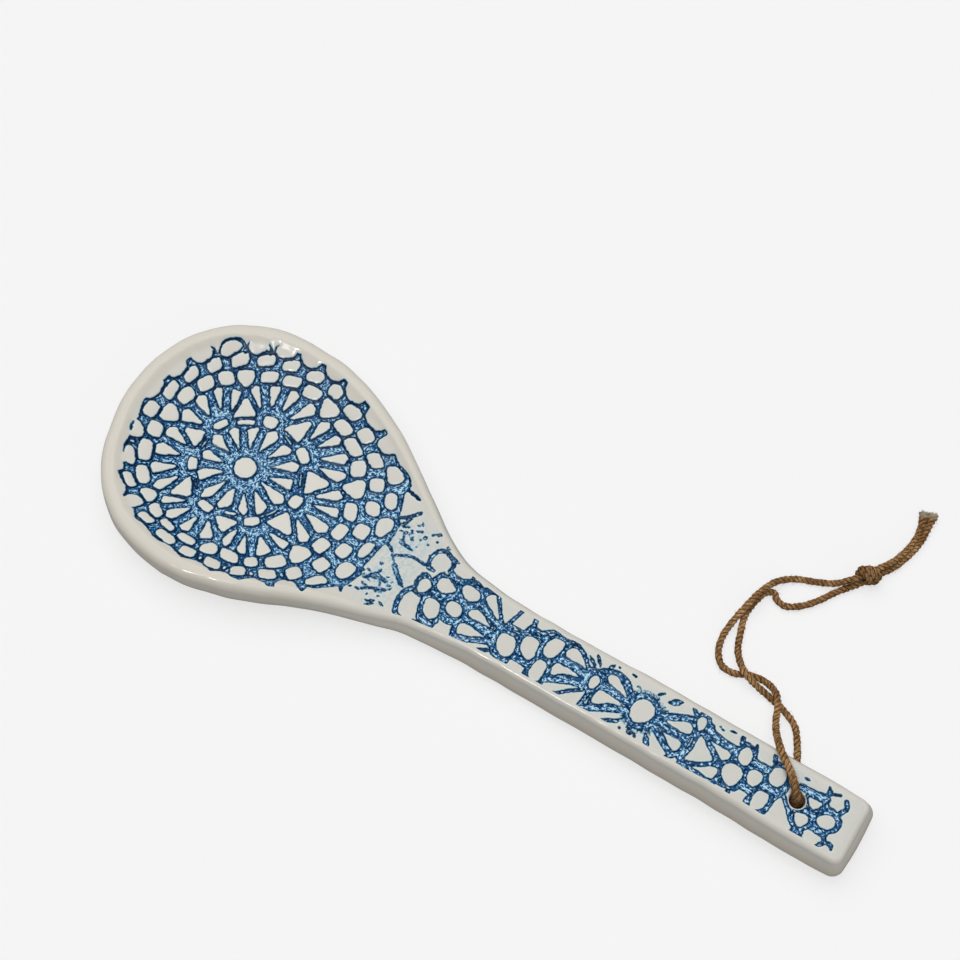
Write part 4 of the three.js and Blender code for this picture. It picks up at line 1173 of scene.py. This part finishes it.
def pigment(nodes, looks, place, depth, ragged, values):
    """Blue streaks along the threads: their colour, their noise and how far inside the edge it holds."""
    levels = GlazeLevels
    flat, run = nodes.add("ShaderNodeSeparateXYZ"), nodes.add("ShaderNodeCombineXYZ")
    nodes.link(place, flat.inputs[0])
    across = nodes.math("MULTIPLY", depth, levels.STREAK_SHIFT)
    for axis, value in enumerate((flat.outputs[0], flat.outputs[1], across)):
        nodes.link(value, run.inputs[axis])
    stitch = nodes.noise(run.outputs[0], *levels.STITCH_GRAIN)
    within = nodes.math("MULTIPLY_ADD", values["pool"], levels.POOL_EDGE, ragged)
    inner = nodes.rise(within, *levels.INNER)
    for name, share in (("blur", levels.BLUR_INNER), ("wash", levels.WASH_INNER)):
        inner = nodes.math("MAXIMUM", inner, nodes.math("MULTIPLY", values[name], share))
    crowd = nodes.math("MULTIPLY_ADD", values["pool"], levels.POOL_BLUE, stitch)
    crowd = nodes.math("MULTIPLY_ADD", nodes.rise(ragged, *levels.BROAD), levels.BROAD_BLUE, crowd)
    dark = tuple(looks.pigment_dark)
    blue = nodes.blend(nodes.rise(crowd, *levels.MIDDLE_BLUE), dark, tuple(looks.pigment_mid))
    blue = nodes.blend(nodes.rise(crowd, *levels.PALE_BLUE), blue, tuple(looks.pigment_pale))
    return nodes.blend(inner, dark, blue), stitch, inner


def glaze_material(looks):
    """Off-white gloss over blue pigment in the pressed threads, with painted light and shade laid into its
    colour.
    """
    material, nodes, shader = new_material("lace_glaze")
    levels = GlazeLevels
    place = nodes.add("ShaderNodeTexCoord").outputs["Object"]
    values = {name: nodes.attribute(name) for name in GLAZE_VALUES}
    depth = values["lace"]
    fine = nodes.math("SUBTRACT", nodes.noise(place, *levels.FINE_GRAIN), 0.5)
    spread = nodes.math("MULTIPLY_ADD", values["blur"], levels.RUN_RAGGED, levels.RAGGED)
    ragged = nodes.math("MULTIPLY_ADD", fine, spread, depth)
    painted = nodes.rise(ragged, *levels.PAINT)
    blue, stitch, inner = pigment(nodes, looks, place, depth, ragged, values)

    patches = mottle(nodes, place, *levels.PATCHES)
    # Painted highlight: a white halo just outside each thread
    crest = nodes.math("MULTIPLY", nodes.rise(ragged, *levels.CREST), levels.CREST_SHARE)
    splash = nodes.rise(nodes.noise(place, *levels.SPLASH_GRAIN), *levels.SPLASH)
    fringe = nodes.math("MULTIPLY", nodes.rise(ragged, *levels.FRINGE), levels.FRINGE_SHARE)
    veil = nodes.math("MAXIMUM", fringe, nodes.math("MULTIPLY", values["wash"], splash))
    glaze = tuple(looks.glaze)
    # Tones over the glaze: random cooler patches, painted light in the bowl, thin glaze with painted light
    # on rim and walls, painted shade low on the walls, painted highlight beside the threads, blue wash
    for share, tone in (
        (nodes.rise(patches, *levels.POOLED), looks.glaze_thick), (values["pool"], looks.glaze_bowl),
        (values["bare"], looks.bare_edge), (values["wall"], looks.glaze_side),
        (crest, looks.glaze_crest), (veil, looks.wash),
    ):
        glaze = nodes.blend(share, glaze, tuple(tone))
    nodes.link(nodes.blend(painted, glaze, blue), shader.inputs["Base Color"])

    shine = (looks.gloss * share for share in levels.GLOSS_SHARES)
    gloss = nodes.rise(patches, *levels.GLOSS, *shine)
    nodes.link(nodes.math("MULTIPLY_ADD", painted, levels.PAINT_ROUGH, gloss), shader.inputs["Roughness"])
    sunk = nodes.math("MULTIPLY", painted, levels.PAINT_HEIGHT)
    height = nodes.math("MULTIPLY_ADD", nodes.math("MULTIPLY", stitch, inner), levels.STITCH_HEIGHT, sunk)
    nodes.link(nodes.bump(height, levels.BUMP_STRENGTH, levels.BUMP_DISTANCE), shader.inputs["Normal"])
    shader.inputs["Specular IOR Level"].default_value = 0.5
    return material


class JuteLevels:
    """Where the tones of the fibres start and stop, as shares of a noise."""

    MIDDLE = (0.36, 0.52)
    PALE = (0.49, 0.63)
    ROUGH = (0.3, 0.7, 0.95, 0.75)
    STRETCH = (8.0, 1.2, 1.0)
    STREAKS = (1.0, 4, 0.65)
    PATCHES = (160, 900, 0.4)
    PATCH_SHARE = 0.5
    BUMP_STRENGTH, BUMP_DISTANCE = 0.8, 0.0003


def jute_material(looks):
    """Matt brown fibres, with painted shade between the plies, and pale at the cut ends."""
    material, nodes, shader = new_material("jute_fibre")
    levels = JuteLevels
    stretch = nodes.add("ShaderNodeMapping")
    stretch.inputs["Scale"].default_value = levels.STRETCH
    nodes.link(nodes.attribute("fibre", "Vector"), stretch.inputs["Vector"])
    streaks = nodes.noise(stretch.outputs[0], *levels.STREAKS)
    patches = mottle(nodes, nodes.add("ShaderNodeTexCoord").outputs["Object"], *levels.PATCHES)
    patches = nodes.math("MULTIPLY", nodes.math("SUBTRACT", patches, 0.5), levels.PATCH_SHARE)
    tone = nodes.math("ADD", streaks, patches)
    brown = tuple(looks.dark)
    for share, fibre in (
        (nodes.rise(tone, *levels.MIDDLE), looks.middle), (nodes.rise(tone, *levels.PALE), looks.pale),
        (nodes.attribute("crease"), looks.dark), (nodes.attribute("cut"), looks.cut),
    ):
        brown = nodes.blend(share, brown, tuple(fibre))
    nodes.link(brown, shader.inputs["Base Color"])
    nodes.link(nodes.rise(tone, *levels.ROUGH), shader.inputs["Roughness"])
    nodes.link(nodes.bump(streaks, levels.BUMP_STRENGTH, levels.BUMP_DISTANCE), shader.inputs["Normal"])
    shader.inputs["Specular IOR Level"].default_value = 0.2
    return material


def floor_material(looks):
    """Plain pale table top with a barely visible mottle."""
    material, nodes, shader = new_material("pale_floor")
    place = nodes.add("ShaderNodeTexCoord").outputs["Object"]
    patches = mottle(nodes, place, *FLOOR_PATCHES)
    tint = tuple(FLOOR_PATCH_TONE * c for c in looks.floor[:3]) + (1.0,)
    nodes.link(nodes.blend(patches, tuple(looks.floor), tint), shader.inputs["Base Color"])
    shader.inputs["Roughness"].default_value = 0.9
    shader.inputs["Specular IOR Level"].default_value = 0.0
    shader.inputs["Emission Color"].default_value = (1, 1, 1, 1)
    seen = nodes.add("ShaderNodeLightPath").outputs["Is Camera Ray"]
    glow = nodes.rise(seen, 0.0, 1.0, looks.floor_glow * FLOOR_GLOW_UNSEEN, looks.floor_glow)
    nodes.link(glow, shader.inputs["Emission Strength"])
    return material


class Yarn:
    """Collects the surfaces of one piece of twine, in millimetres."""

    SIDES, STEP = 30, 0.3
    # Painted shade between the plies: how dark, and where across a ply it starts and how far it spreads
    CREASE, CREASE_START, CREASE_SPAN = 0.92, 0.55, 0.45
    # A ply's radius and its distance from the middle, as shares of the twine's radius
    PLY, PLY_OUT = 0.7, 0.32
    FIRST_SIDE = (0.31, 0.2, 0.93)
    # How the twine's thickness varies along it: share and waves
    SLOW_SWELL, SLOW_WAVE = 0.05, 1.7
    QUICK_SWELL, QUICK_WAVE = 0.04, 4.1
    # Lengths over which a cut end flares or a tucked one narrows, and how narrow that gets
    FLARE_RUN, ROUNDED_RUN, ROUNDED_SIZE = 2.2, 0.8, 0.75
    CUT_START, CUT_SPAN = -2.4, 2.2
    FIBRE_SLANT, FIBRE_SEEDS = 0.35, 50
    LOWEST, HAIR_LOWEST = 0.06, 0.04
    # Loose fibres: three sides, then where on the noise of the streaks each lies and how pale it is
    HAIR_TURNS = (0, 2.1, 4.2)
    HAIR_AROUND, HAIR_ALONG, HAIR_SEED, HAIR_PALE = 40, 0.1, 9, 0.25
    FUZZ_POINTS, ROOT = 5, 0.85
    FUZZ_SHARE, FUZZ_REACH = (0.25, 1.0), 1.1
    FUZZ_RUN, FUZZ_BEND = (0.6, 2.2), 0.6
    FUZZ_WIDTH, FUZZ_TONE = (0.03, 0.05), (0.2, 1)
    # Fibres that stand out of a cut end
    BRUSH_COUNT, BRUSH_POINTS, BRUSH_ROOT = 110, 4, 0.6
    BRUSH_RUN, BRUSH_SPREAD = (0.7, 1.5), (0.1, 0.2)
    BRUSH_WIDTH, BRUSH_TONE = (0.05, 0.09), (0.8, 1.6)

    def __init__(self, looks, seed):
        self.radius = looks.diameter / MM / 2
        self.lay = looks.lay_length / MM
        self.plies = looks.plies
        self.hairs_per_mm = looks.hairs / 10
        self.draw = np.random.default_rng(seed)
        self.points, self.faces = [], []
        self.fibre, self.crease, self.cut = [], [], []
        self.size = 0

    def section(self):
        """Round the twine: angle, share of its radius that the plies reach, nearness to the dip between two
        plies.
        """
        turn = 2 * math.pi * np.arange(self.SIDES) / self.SIDES
        pitch = 2 * math.pi / self.plies
        off = (turn + pitch / 2) % pitch - pitch / 2
        radius = self.PLY_OUT * np.cos(off) + np.sqrt(self.PLY**2 - (self.PLY_OUT * np.sin(off)) ** 2)
        return turn, radius, np.abs(off) / (pitch / 2)

    def frames(self, path):
        """Tangents and two carried directions along the path."""
        tangent = np.gradient(path, axis=0)
        tangent /= np.linalg.norm(tangent, axis=1)[:, None]
        side = np.zeros_like(path)
        first = np.cross(tangent[0], self.FIRST_SIDE)
        side[0] = first / np.linalg.norm(first)
        for i in range(1, len(path)):
            carried = side[i - 1] - tangent[i] * (side[i - 1] @ tangent[i])
            side[i] = carried / np.linalg.norm(carried)
        return tangent, side, np.cross(tangent, side)

    def take(self, points, faces, fibre, crease, cut):
        """Store one surface and its values."""
        self.faces += [[self.size + n for n in face] for face in faces]
        self.size += len(points)
        for store, values in (
            (self.points, points), (self.fibre, fibre), (self.crease, crease), (self.cut, cut),
        ):
            store.append(np.asarray(values, float))

    def strand(self, points, flare=0.0, swell=None, shade=None, crease=CREASE):
        """A twisted strand along points; flare opens its far end, swell changes its thickness and shade adds
        painted shade along its run.
        """
        path = even(through(points, ROUTE_STEPS), self.STEP)
        run = self.STEP * np.arange(len(path))
        left = run[-1] - run
        size = self.thickness(run, left, flare, swell)
        tangent, side, lift = self.frames(path)
        turn, radius, off = self.section()
        spin = 2 * math.pi * run / self.lay
        rounded = np.clip(left / self.ROUNDED_RUN, 0, 1) if flare == 0 else np.ones(len(path))
        narrow = mix(self.ROUNDED_SIZE, 1.0, rounded)
        shell = []
        for i, place in enumerate(path):
            around = turn + spin[i]
            r = size[i] * radius * narrow[i]
            out = np.cos(around)[:, None] * side[i] + np.sin(around)[:, None] * lift[i]
            shell.append(place + r[:, None] * out)
        shell = np.vstack(shell)
        shell[:, 2] = np.maximum(shell[:, 2], self.LOWEST)
        n, rings = self.SIDES, len(path)
        faces = [face for i in range(rings - 1) for face in band(i * n, (i + 1) * n, n)]
        last = (rings - 1) * n
        faces += [list(range(n)), [last + j for j in range(n)][::-1]]
        around = np.tile(turn * self.radius, rings) + np.repeat(run * self.FIBRE_SLANT, n)
        seed = np.full(len(around), self.draw.uniform(0, self.FIBRE_SEEDS))
        # Painted shade: darker between the plies, and where the shade list says
        crease = np.tile(smooth(off, self.CREASE_START, self.CREASE_SPAN), rings) * crease
        if shade:
            crease = np.maximum(crease, np.repeat(np.interp(run, *zip(*shade)), n))
        cut = np.repeat(smooth(-left, self.CUT_START, self.CUT_SPAN) if flare else np.zeros(rings), n)
        self.take(shell, faces, np.column_stack([around, np.repeat(run, n), seed]), crease, cut)
        self.fuzz(path, tangent, side, lift, size)
        if flare:
            self.brush(path[-1], tangent[-1], side[-1], lift[-1], size[-1])

    def thickness(self, run, left, flare, swell):
        """Radius of the twine along its run."""
        opened = np.exp(-left / self.FLARE_RUN) * flare
        slow = self.SLOW_SWELL * np.sin(run * self.SLOW_WAVE + self.draw.uniform(0, 6))
        uneven = 1 + slow + self.QUICK_SWELL * np.sin(run * self.QUICK_WAVE)
        size = self.radius * (1 + opened) * uneven
        return size * np.interp(run, *zip(*swell)) if swell else size

    def hair(self, points, width, shade):
        """One loose fibre as a thin three-sided tube that ends in a point."""
        _, side, lift = self.frames(points)
        rings = []
        for i, p in enumerate(points[:-1]):
            r = width * (1 - 0.5 * i / (len(points) - 1))
            rings += [p + r * (math.cos(a) * side[i] + math.sin(a) * lift[i]) for a in self.HAIR_TURNS]
        rings.append(points[-1])
        rings = np.array(rings)
        rings[:, 2] = np.maximum(rings[:, 2], self.HAIR_LOWEST)
        end = 3 * (len(points) - 2)
        faces = [[0, 2, 1]] + [face for i in range(0, end, 3) for face in band(i, i + 3, 3)]
        faces += [[end + j, end + (j + 1) % 3, end + 3] for j in range(3)]
        count = len(rings)
        fibre = np.column_stack([
            np.full(count, shade * self.HAIR_AROUND), np.arange(count) * self.HAIR_ALONG,
            np.full(count, shade * self.HAIR_SEED),
        ])
        self.take(rings, faces, fibre, np.zeros(count), np.full(count, self.HAIR_PALE * shade))

    def fuzz(self, path, tangent, side, lift, size):
        """Loose fibres along the strand."""
        draw = self.draw
        t = np.linspace(0, 1, self.FUZZ_POINTS)[:, None]
        for _ in range(int(len(path) * self.STEP * self.hairs_per_mm)):
            i = draw.integers(2, len(path) - 2)
            turn = draw.uniform(0, 2 * math.pi)
            out = math.cos(turn) * side[i] + math.sin(turn) * lift[i]
            across = np.cross(tangent[i], out)
            reach = draw.uniform(*self.FUZZ_SHARE) ** 2 * self.FUZZ_REACH
            run = draw.choice((-1, 1)) * draw.uniform(*self.FUZZ_RUN)
            bend = draw.normal(0, self.FUZZ_BEND)
            points = path[i] + out * size[i] * self.ROOT + out * reach * t + tangent[i] * run * t
            width = draw.uniform(*self.FUZZ_WIDTH)
            self.hair(points + across * bend * t**2, width, draw.uniform(*self.FUZZ_TONE))

    def brush(self, end, tangent, side, lift, size):
        """Loose fibres that stand out of a cut end."""
        draw = self.draw
        t = np.linspace(0, 1, self.BRUSH_POINTS)[:, None]
        for _ in range(self.BRUSH_COUNT):
            turn = draw.uniform(0, 2 * math.pi)
            r = math.sqrt(draw.uniform(0, 1)) * size * self.ROOT
            out = math.cos(turn) * side + math.sin(turn) * lift
            points = end - tangent * self.BRUSH_ROOT + out * r
            points = points + tangent * draw.uniform(*self.BRUSH_RUN) * t
            points = points + out * draw.normal(*self.BRUSH_SPREAD) * t**2
            width = draw.uniform(*self.BRUSH_WIDTH)
            self.hair(points, width, draw.uniform(*self.BRUSH_TONE))

    def piece(self, name, material):
        """The mesh object of all that was collected."""
        layers = [(label, np.concatenate(getattr(self, label))) for label in ("crease", "cut", "fibre")]
        return new_object(name, np.vstack(self.points), self.faces, material, layers)


class SpoonSkin:
    """Collects the spoon's surface in millimetres: its face, its wall, its underside and its hole."""

    HOLE_SIDES = 40
    # Room between an edge and the lattice: in steps on the face, in millimetres below
    FACE_ROOM = 0.55
    UNDER_ROOM, UNDER_STEP = 1.2, 2.4
    EDGE_STEPS, FOOT_STEPS = 8, 7
    WALL_SHARES = (0.25, 0.5, 0.75)
    MOUTH_TURNS = (0.4, 0.8, 1.2, 1.57)
    BORE_SHARES = (0.3, 0.5, 0.7)
    # Relief of the face: the pressed threads, the clay that swells between them, the knots of stitches
    PRESS_START, PRESS_SPAN = -0.3, 0.75
    PILLOW, PILLOW_SPAN = 0.1, 1.1
    STITCHES = (0.05, 31, 1.1)
    STITCH_START, STITCH_SPAN = 0.5, 0.4
    CLAY = [(0.1, 41, 30), (0.02, 42, 9), (0.018, 43, 3.5)]

    def __init__(self, form):
        self.form = form
        self.around = circle(self.HOLE_SIDES)
        self.mouth = form.hole_radius + MOUTH_FLARE
        self.edge, self.foot = form.edge_radius(form.x), form.foot_radius(form.x)
        self.rim, self.base, self.draft = form.rim(form.x), form.lift(form.x), form.draft(form.x)
        self.points, self.size = [], 0
        room = self.FACE_ROOM * form.mesh_step
        border = form.ring(self.edge, self.rim)[:, :2]
        limit = form.ring(self.edge + room, self.rim)[:, :2]
        self.hole = form.hole + self.mouth * self.around
        self.plan, self.faces = fill_plan(border, limit, self.hole, self.mouth + room, form.mesh_step)
        self.count = len(border)

    def take(self, points):
        """Store points and give the number of the first."""
        self.points.append(points)
        self.size += len(points)
        return self.size - len(points)

    def add_ring(self, previous, ring):
        """Store a closed ring, joined to an earlier one."""
        self.faces += band(previous, self.size, len(ring))
        return self.take(ring)

    def press(self, lace):
        """The face, with the lace pressed in and the clay swelling between the threads."""
        top = self.form.top(self.plan)
        pressed = smooth(lace, self.PRESS_START, self.PRESS_SPAN)
        pillow = self.PILLOW * smooth(-lace, 0, self.PILLOW_SPAN)
        stitches = ripples([self.STITCHES], self.plan) * smooth(lace, self.STITCH_START, self.STITCH_SPAN)
        height = top - self.form.lace_depth * pressed + pillow + stitches
        height[:self.count] = top[:self.count]
        self.take(np.column_stack([self.plan, height]))

    def close(self):
        """Wall, underside and hole."""
        form, edge, foot, draft = self.form, self.edge, self.foot, self.draft
        rim, base = self.rim, self.base
        rings = []
        for turn in np.linspace(0, math.pi / 2, self.EDGE_STEPS)[1:]:
            rings.append(form.ring(edge * (1 - math.sin(turn)), rim - edge * (1 - math.cos(turn))))
        for share in self.WALL_SHARES:
            rings.append(form.ring(-draft * share, mix(rim - edge, base + foot, share)))
        for turn in np.linspace(0, math.pi / 2, self.FOOT_STEPS):
            rings.append(form.ring(foot * (1 - math.cos(turn)) - draft, base + foot * (1 - math.sin(turn))))
        previous = 0
        for ring in rings:
            previous = self.add_ring(previous, ring)
        self.bore(self.fill_under(previous, rings[-1][:, :2]))

    def fill_under(self, previous, border):
        """The underside inside the wall's last ring; gives the number of the hole's first point there."""
        form, count = self.form, self.count
        limit = form.ring(self.foot - self.draft + self.UNDER_ROOM, self.base)[:, :2]
        under, faces = fill_plan(border, limit, self.hole, self.mouth + self.UNDER_ROOM, self.UNDER_STEP)
        shift = self.size - count
        self.faces += [[n + (previous if n < count else shift) for n in face] for face in faces]
        inner = under[count:]
        return self.take(np.column_stack([inner, form.lift(inner[:, 0])]))

    def bore(self, hole_under):
        """The hole's wall, with a rounded mouth at both ends."""
        form, around = self.form, self.around
        bottom, top = float(form.lift(form.hole[0])), float(form.rim(form.hole[0]))
        curl = [
            (self.mouth - MOUTH_FLARE * math.sin(turn), MOUTH_FLARE * (1 - math.cos(turn)))
            for turn in self.MOUTH_TURNS
        ]
        profile = [(radius, top - fall) for radius, fall in curl]
        profile += [(form.hole_radius, mix(top, bottom, share)) for share in self.BORE_SHARES]
        profile += [(radius, bottom + rise) for radius, rise in reversed(curl)]
        previous = self.count
        for radius, z in profile:
            ring = np.column_stack([form.hole + radius * around, np.full(len(around), z)])
            previous = self.add_ring(previous, ring)
        self.faces += band(previous, hole_under, len(around))

    def finish(self):
        """All points, made uneven as hand-rolled clay is, and how far up the wall each lies, 0 to 1."""
        points = np.vstack(self.points)
        xy, z = points[:, :2], points[:, 2]
        low, high = self.form.lift(xy[:, 0]), self.form.rim(xy[:, 0])
        rise = np.clip((z - low) / (high - low), 0, 1)
        points[:, 2] = z + rise * ripples(self.CLAY, xy)
        return points, rise


class GlazeShades:
    """Where the glaze's tones and its painted light and shade lie on the spoon, in millimetres in plan."""

    NO_LACE = -3.0
    # The mat's eye and the flower, where pigment ran: radius and spread of the ring, share of the blur
    EYE_RING, EYE_BLUR = (6.6, 1.3), 0.45
    FLOWER_RING, FLOWER_BLUR = (5.9, 0.8), 0.7
    FLOWER_NEAR, FLOWER_LACE = 0.4, -0.2
    # The neck's pale wash: middle, spread, shares of wash and blur
    NECK, NECK_SPREAD = (57, 2), (7, 14)
    NECK_WASH, NECK_BLUR = 0.65, 0.5
    # The pale wash beside the hole
    SIDE, SIDE_SPREAD, SIDE_WASH = (186, 6), (9, 3), 0.3
    # Rim band of thin glaze and painted light: where it starts and spans across the face, and how much of it
    # the handle keeps
    BARE_START, BARE_SPAN, BARE_HANDLE = 0.84, 0.16, 0.4
    # Painted shade on the walls: where it starts below the rim and how far down it grows
    WALL_START, WALL_SPAN = 0.12, 0.7

    def __init__(self, plan):
        self.plan = plan
        self.eye = halo(plan, LACE_MIDDLE, *self.EYE_RING)
        self.flower = halo(plan, FLOWER, *self.FLOWER_RING)
        ran = np.where(self.flower > self.FLOWER_NEAR, self.FLOWER_LACE, self.NO_LACE)
        self.lace = np.maximum(Lace().depth(plan), ran)

    def rows(self, form, points, rise):
        """Each shade's name and its value on every point."""
        xy, count = points[:, :2], len(points)
        face = np.arange(count) < len(self.plan)
        on_handle = form.neck_share(xy[:, 0])
        lace, blur, bare = np.full(count, self.NO_LACE), np.zeros(count), np.ones(count)
        lace[face] = self.lace
        # Thin glaze and painted light: on the rim band, all over the walls and underside, less on the handle
        bare[face] = smooth(form.share(self.plan), self.BARE_START, self.BARE_SPAN)
        bare *= mix(1, self.BARE_HANDLE, on_handle)
        u, v = ((xy - self.NECK) / self.NECK_SPREAD).T
        neck = np.exp(-(u ** 2 + v ** 4))
        u, v = ((xy - self.SIDE) / self.SIDE_SPREAD).T
        far_side = np.exp(-(u ** 2 + v ** 2)) * self.SIDE_WASH
        wash = np.where(face, np.maximum(self.NECK_WASH * neck, far_side), 0)
        ran = (self.EYE_BLUR * self.eye, self.FLOWER_BLUR * self.flower, self.NECK_BLUR * neck[face])
        blur[face] = np.maximum.reduce(ran)
        # 1 in the bowl, 0 on the handle: the bowl's glaze is painted lighter there as painted light
        pool = np.where(face, 1 - on_handle, 0)
        # Painted shade: 0 on the face and at the wall's top, growing to 1 towards the foot and on the
        # underside
        wall = np.where(face, 0, smooth(1 - rise, self.WALL_START, self.WALL_SPAN))
        return list(zip(GLAZE_VALUES, (lace, wash, blur, bare, pool, wall)))


def set_camera(scene, looks, right, back):
    """The camera, aimed at the middle of the picture."""
    camera = bpy.data.objects.new("camera", bpy.data.cameras.new("camera"))
    scene.collection.objects.link(camera)
    up = back.cross(right)
    place = LOOK_AT + back * looks.distance
    camera.matrix_world = Matrix((
        (right.x, up.x, back.x, place.x), (right.y, up.y, back.y, place.y),
        (right.z, up.z, back.z, place.z), (0, 0, 0, 1),
    ))
    camera.data.sensor_width = SENSOR_WIDTH_MM
    camera.data.lens = looks.focal
    scene.camera = camera


def hang_lamps(scene, looks, right, away):
    """Broad soft lights for the shading and small lamps for the shine."""
    for name, kind, strength, share, ahead, aside in LAMPS:
        lamp = bpy.data.objects.new(name, bpy.data.lights.new(name, kind))
        scene.collection.objects.link(lamp)
        lamp.data.energy = getattr(looks, strength) * share
        lamp.location = LOOK_AT + (away * ahead + right * aside) + Vector((0, 0, LAMP_HEIGHT))
        lamp.rotation_mode = "QUATERNION"
        lamp.rotation_quaternion = (LOOK_AT - lamp.location).to_track_quat("-Z", "Y")
        if kind == "SUN":
            lamp.data.angle = looks.key_spread
            lamp.visible_glossy = False
        else:
            lamp.data.shape = "DISK"
            lamp.data.size = LAMP_DISK
            lamp.visible_diffuse = False


def set_sky(scene, looks):
    """Even light from all round, bright to the camera and dim in the glaze."""
    world = bpy.data.worlds.new("studio")
    world.use_nodes = True
    nodes = Nodes(world.node_tree)
    path = nodes.add("ShaderNodeLightPath")
    light = nodes.rise(path.outputs["Is Camera Ray"], 0.0, 1.0, looks.fill, SKY_SEEN)
    mirror = nodes.rise(path.outputs["Is Glossy Ray"], 0.0, 1.0, 1.0, SKY_MIRRORED)
    sky = world.node_tree.nodes["Background"]
    sky.inputs["Color"].default_value = (1, 1, 1, 1)
    nodes.link(nodes.math("MULTIPLY", light, mirror), sky.inputs["Strength"])
    scene.world = world


class SPOON_OT_stage(bpy.types.Operator):
    """Set up the pale floor, the soft light and the camera"""

    bl_idname = "spoon.stage"
    bl_label = "Set the Stage"

    def execute(self, context):
        looks = context.scene.stage_looks
        e, t = looks.elevation, looks.turn
        right = Vector((math.cos(t), math.sin(t), 0))
        away = Vector((-math.sin(t), math.cos(t), 0))
        back = Vector((math.sin(t) * math.cos(e), -math.cos(t) * math.cos(e), math.sin(e)))
        set_camera(context.scene, looks, right, back)
        bpy.ops.mesh.primitive_plane_add(size=FLOOR_SIZE, location=FLOOR_MIDDLE)
        floor = context.object
        floor.name = "floor"
        floor.data.materials.append(floor_material(looks))
        hang_lamps(context.scene, looks, right, away)
        set_sky(context.scene, looks)
        context.scene.view_settings.view_transform = "Standard"
        context.scene.view_settings.look = "None"
        return {"FINISHED"}


class SPOON_OT_twine(bpy.types.Operator):
    """Lay the two strands of the hanging loop, each from the hole through the knot to its cut end"""

    bl_idname = "spoon.twine"
    bl_label = "Lay the Twine"

    def execute(self, context):
        looks = context.scene.twine_looks
        material = jute_material(looks)
        for name, route, nodes, seed in CORDS:
            yarn = Yarn(looks, seed)
            yarn.strand(route, flare=END_FLARE, swell=HOLE_SWELL, shade=HOLE_SHADE)
            piece = yarn.piece(name, material)
            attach(piece, "hanging_loop")
            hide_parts(*nodes)
        return {"FINISHED"}


class SPOON_OT_knot(bpy.types.Operator):
    """Tie the overhand knot that holds both strands"""

    bl_idname = "spoon.knot"
    bl_label = "Tie the Knot"

    def execute(self, context):
        looks = context.scene.twine_looks
        axis = np.array(KNOT_DIRECTION) / np.linalg.norm(KNOT_DIRECTION)
        across, up = np.cross((0, 0, 1), axis), np.array([0.0, 0.0, 1.0])
        level = np.cross(up, axis * math.cos(KNOT_LEAN) + across * math.sin(KNOT_LEAN))
        yarn = Yarn(looks, KNOT_SEED)
        turns = np.linspace(0, 2 * math.pi, KNOT_POINTS)
        for shift, size in KNOT_WRAPS:
            middle = np.array(KNOT_PLACE) + axis * shift
            wrap = [middle + size * (math.cos(t) * level + math.sin(t) * up) for t in turns]
            yarn.strand(wrap, shade=KNOT_SHADE, crease=KNOT_CREASE)
        piece = yarn.piece("twine_knot_wraps", bpy.data.materials["jute_fibre"])
        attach(piece, "hanging_loop")
        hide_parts("twine_knot")
        return {"FINISHED"}


class SPOON_OT_body(bpy.types.Operator):
    """Form the spoon, press the lace into it and glaze it"""

    bl_idname = "spoon.body"
    bl_label = "Form the Spoon"

    def execute(self, context):
        form = SpoonForm(context.scene.spoon_sizes)
        skin = SpoonSkin(form)
        shades = GlazeShades(skin.plan)
        skin.press(shades.lace)
        skin.close()
        points, rise = skin.finish()
        material = glaze_material(context.scene.glaze_looks)
        piece = new_object("spoon", points, skin.faces, material, shades.rows(form, points, rise))
        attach(piece, "spoon")
        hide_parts("spoon_body")
        return {"FINISHED"}


class SPOON_PT_panel(bpy.types.Panel):
    """Lists the spoon's pieces and their settings"""

    bl_idname = "SPOON_PT_panel"
    bl_label = "Lace Spoon"
    bl_space_type = "VIEW_3D"
    bl_region_type = "UI"
    bl_category = "Spoon"

    def draw(self, context):
        for operator in OPERATORS:
            self.layout.operator(operator.bl_idname)
        for name, group in SETTINGS.items():
            box = self.layout.box()
            for key in group.__annotations__:
                box.prop(getattr(context.scene, name), key)


OPERATORS = (SPOON_OT_stage, SPOON_OT_twine, SPOON_OT_knot, SPOON_OT_body)
SETTINGS = {
    "spoon_sizes": SpoonSizes,
    "glaze_looks": GlazeLooks,
    "twine_looks": TwineLooks,
    "stage_looks": StageLooks,
}


def register():
    for group in SETTINGS.values():
        bpy.utils.register_class(group)
    for name, group in SETTINGS.items():
        setattr(bpy.types.Scene, name, PointerProperty(type=group))
    for operator in OPERATORS:
        bpy.utils.register_class(operator)
    bpy.utils.register_class(SPOON_PT_panel)


def unregister():
    bpy.utils.unregister_class(SPOON_PT_panel)
    for operator in reversed(OPERATORS):
        bpy.utils.unregister_class(operator)
    for name in SETTINGS:
        delattr(bpy.types.Scene, name)
    for group in reversed(list(SETTINGS.values())):
        bpy.utils.unregister_class(group)


def main():
    register()
    bpy.ops.spoon.stage()
    bpy.ops.spoon.twine()
    bpy.ops.spoon.knot()
    bpy.ops.spoon.body()


if __name__ == "__main__":
    main()
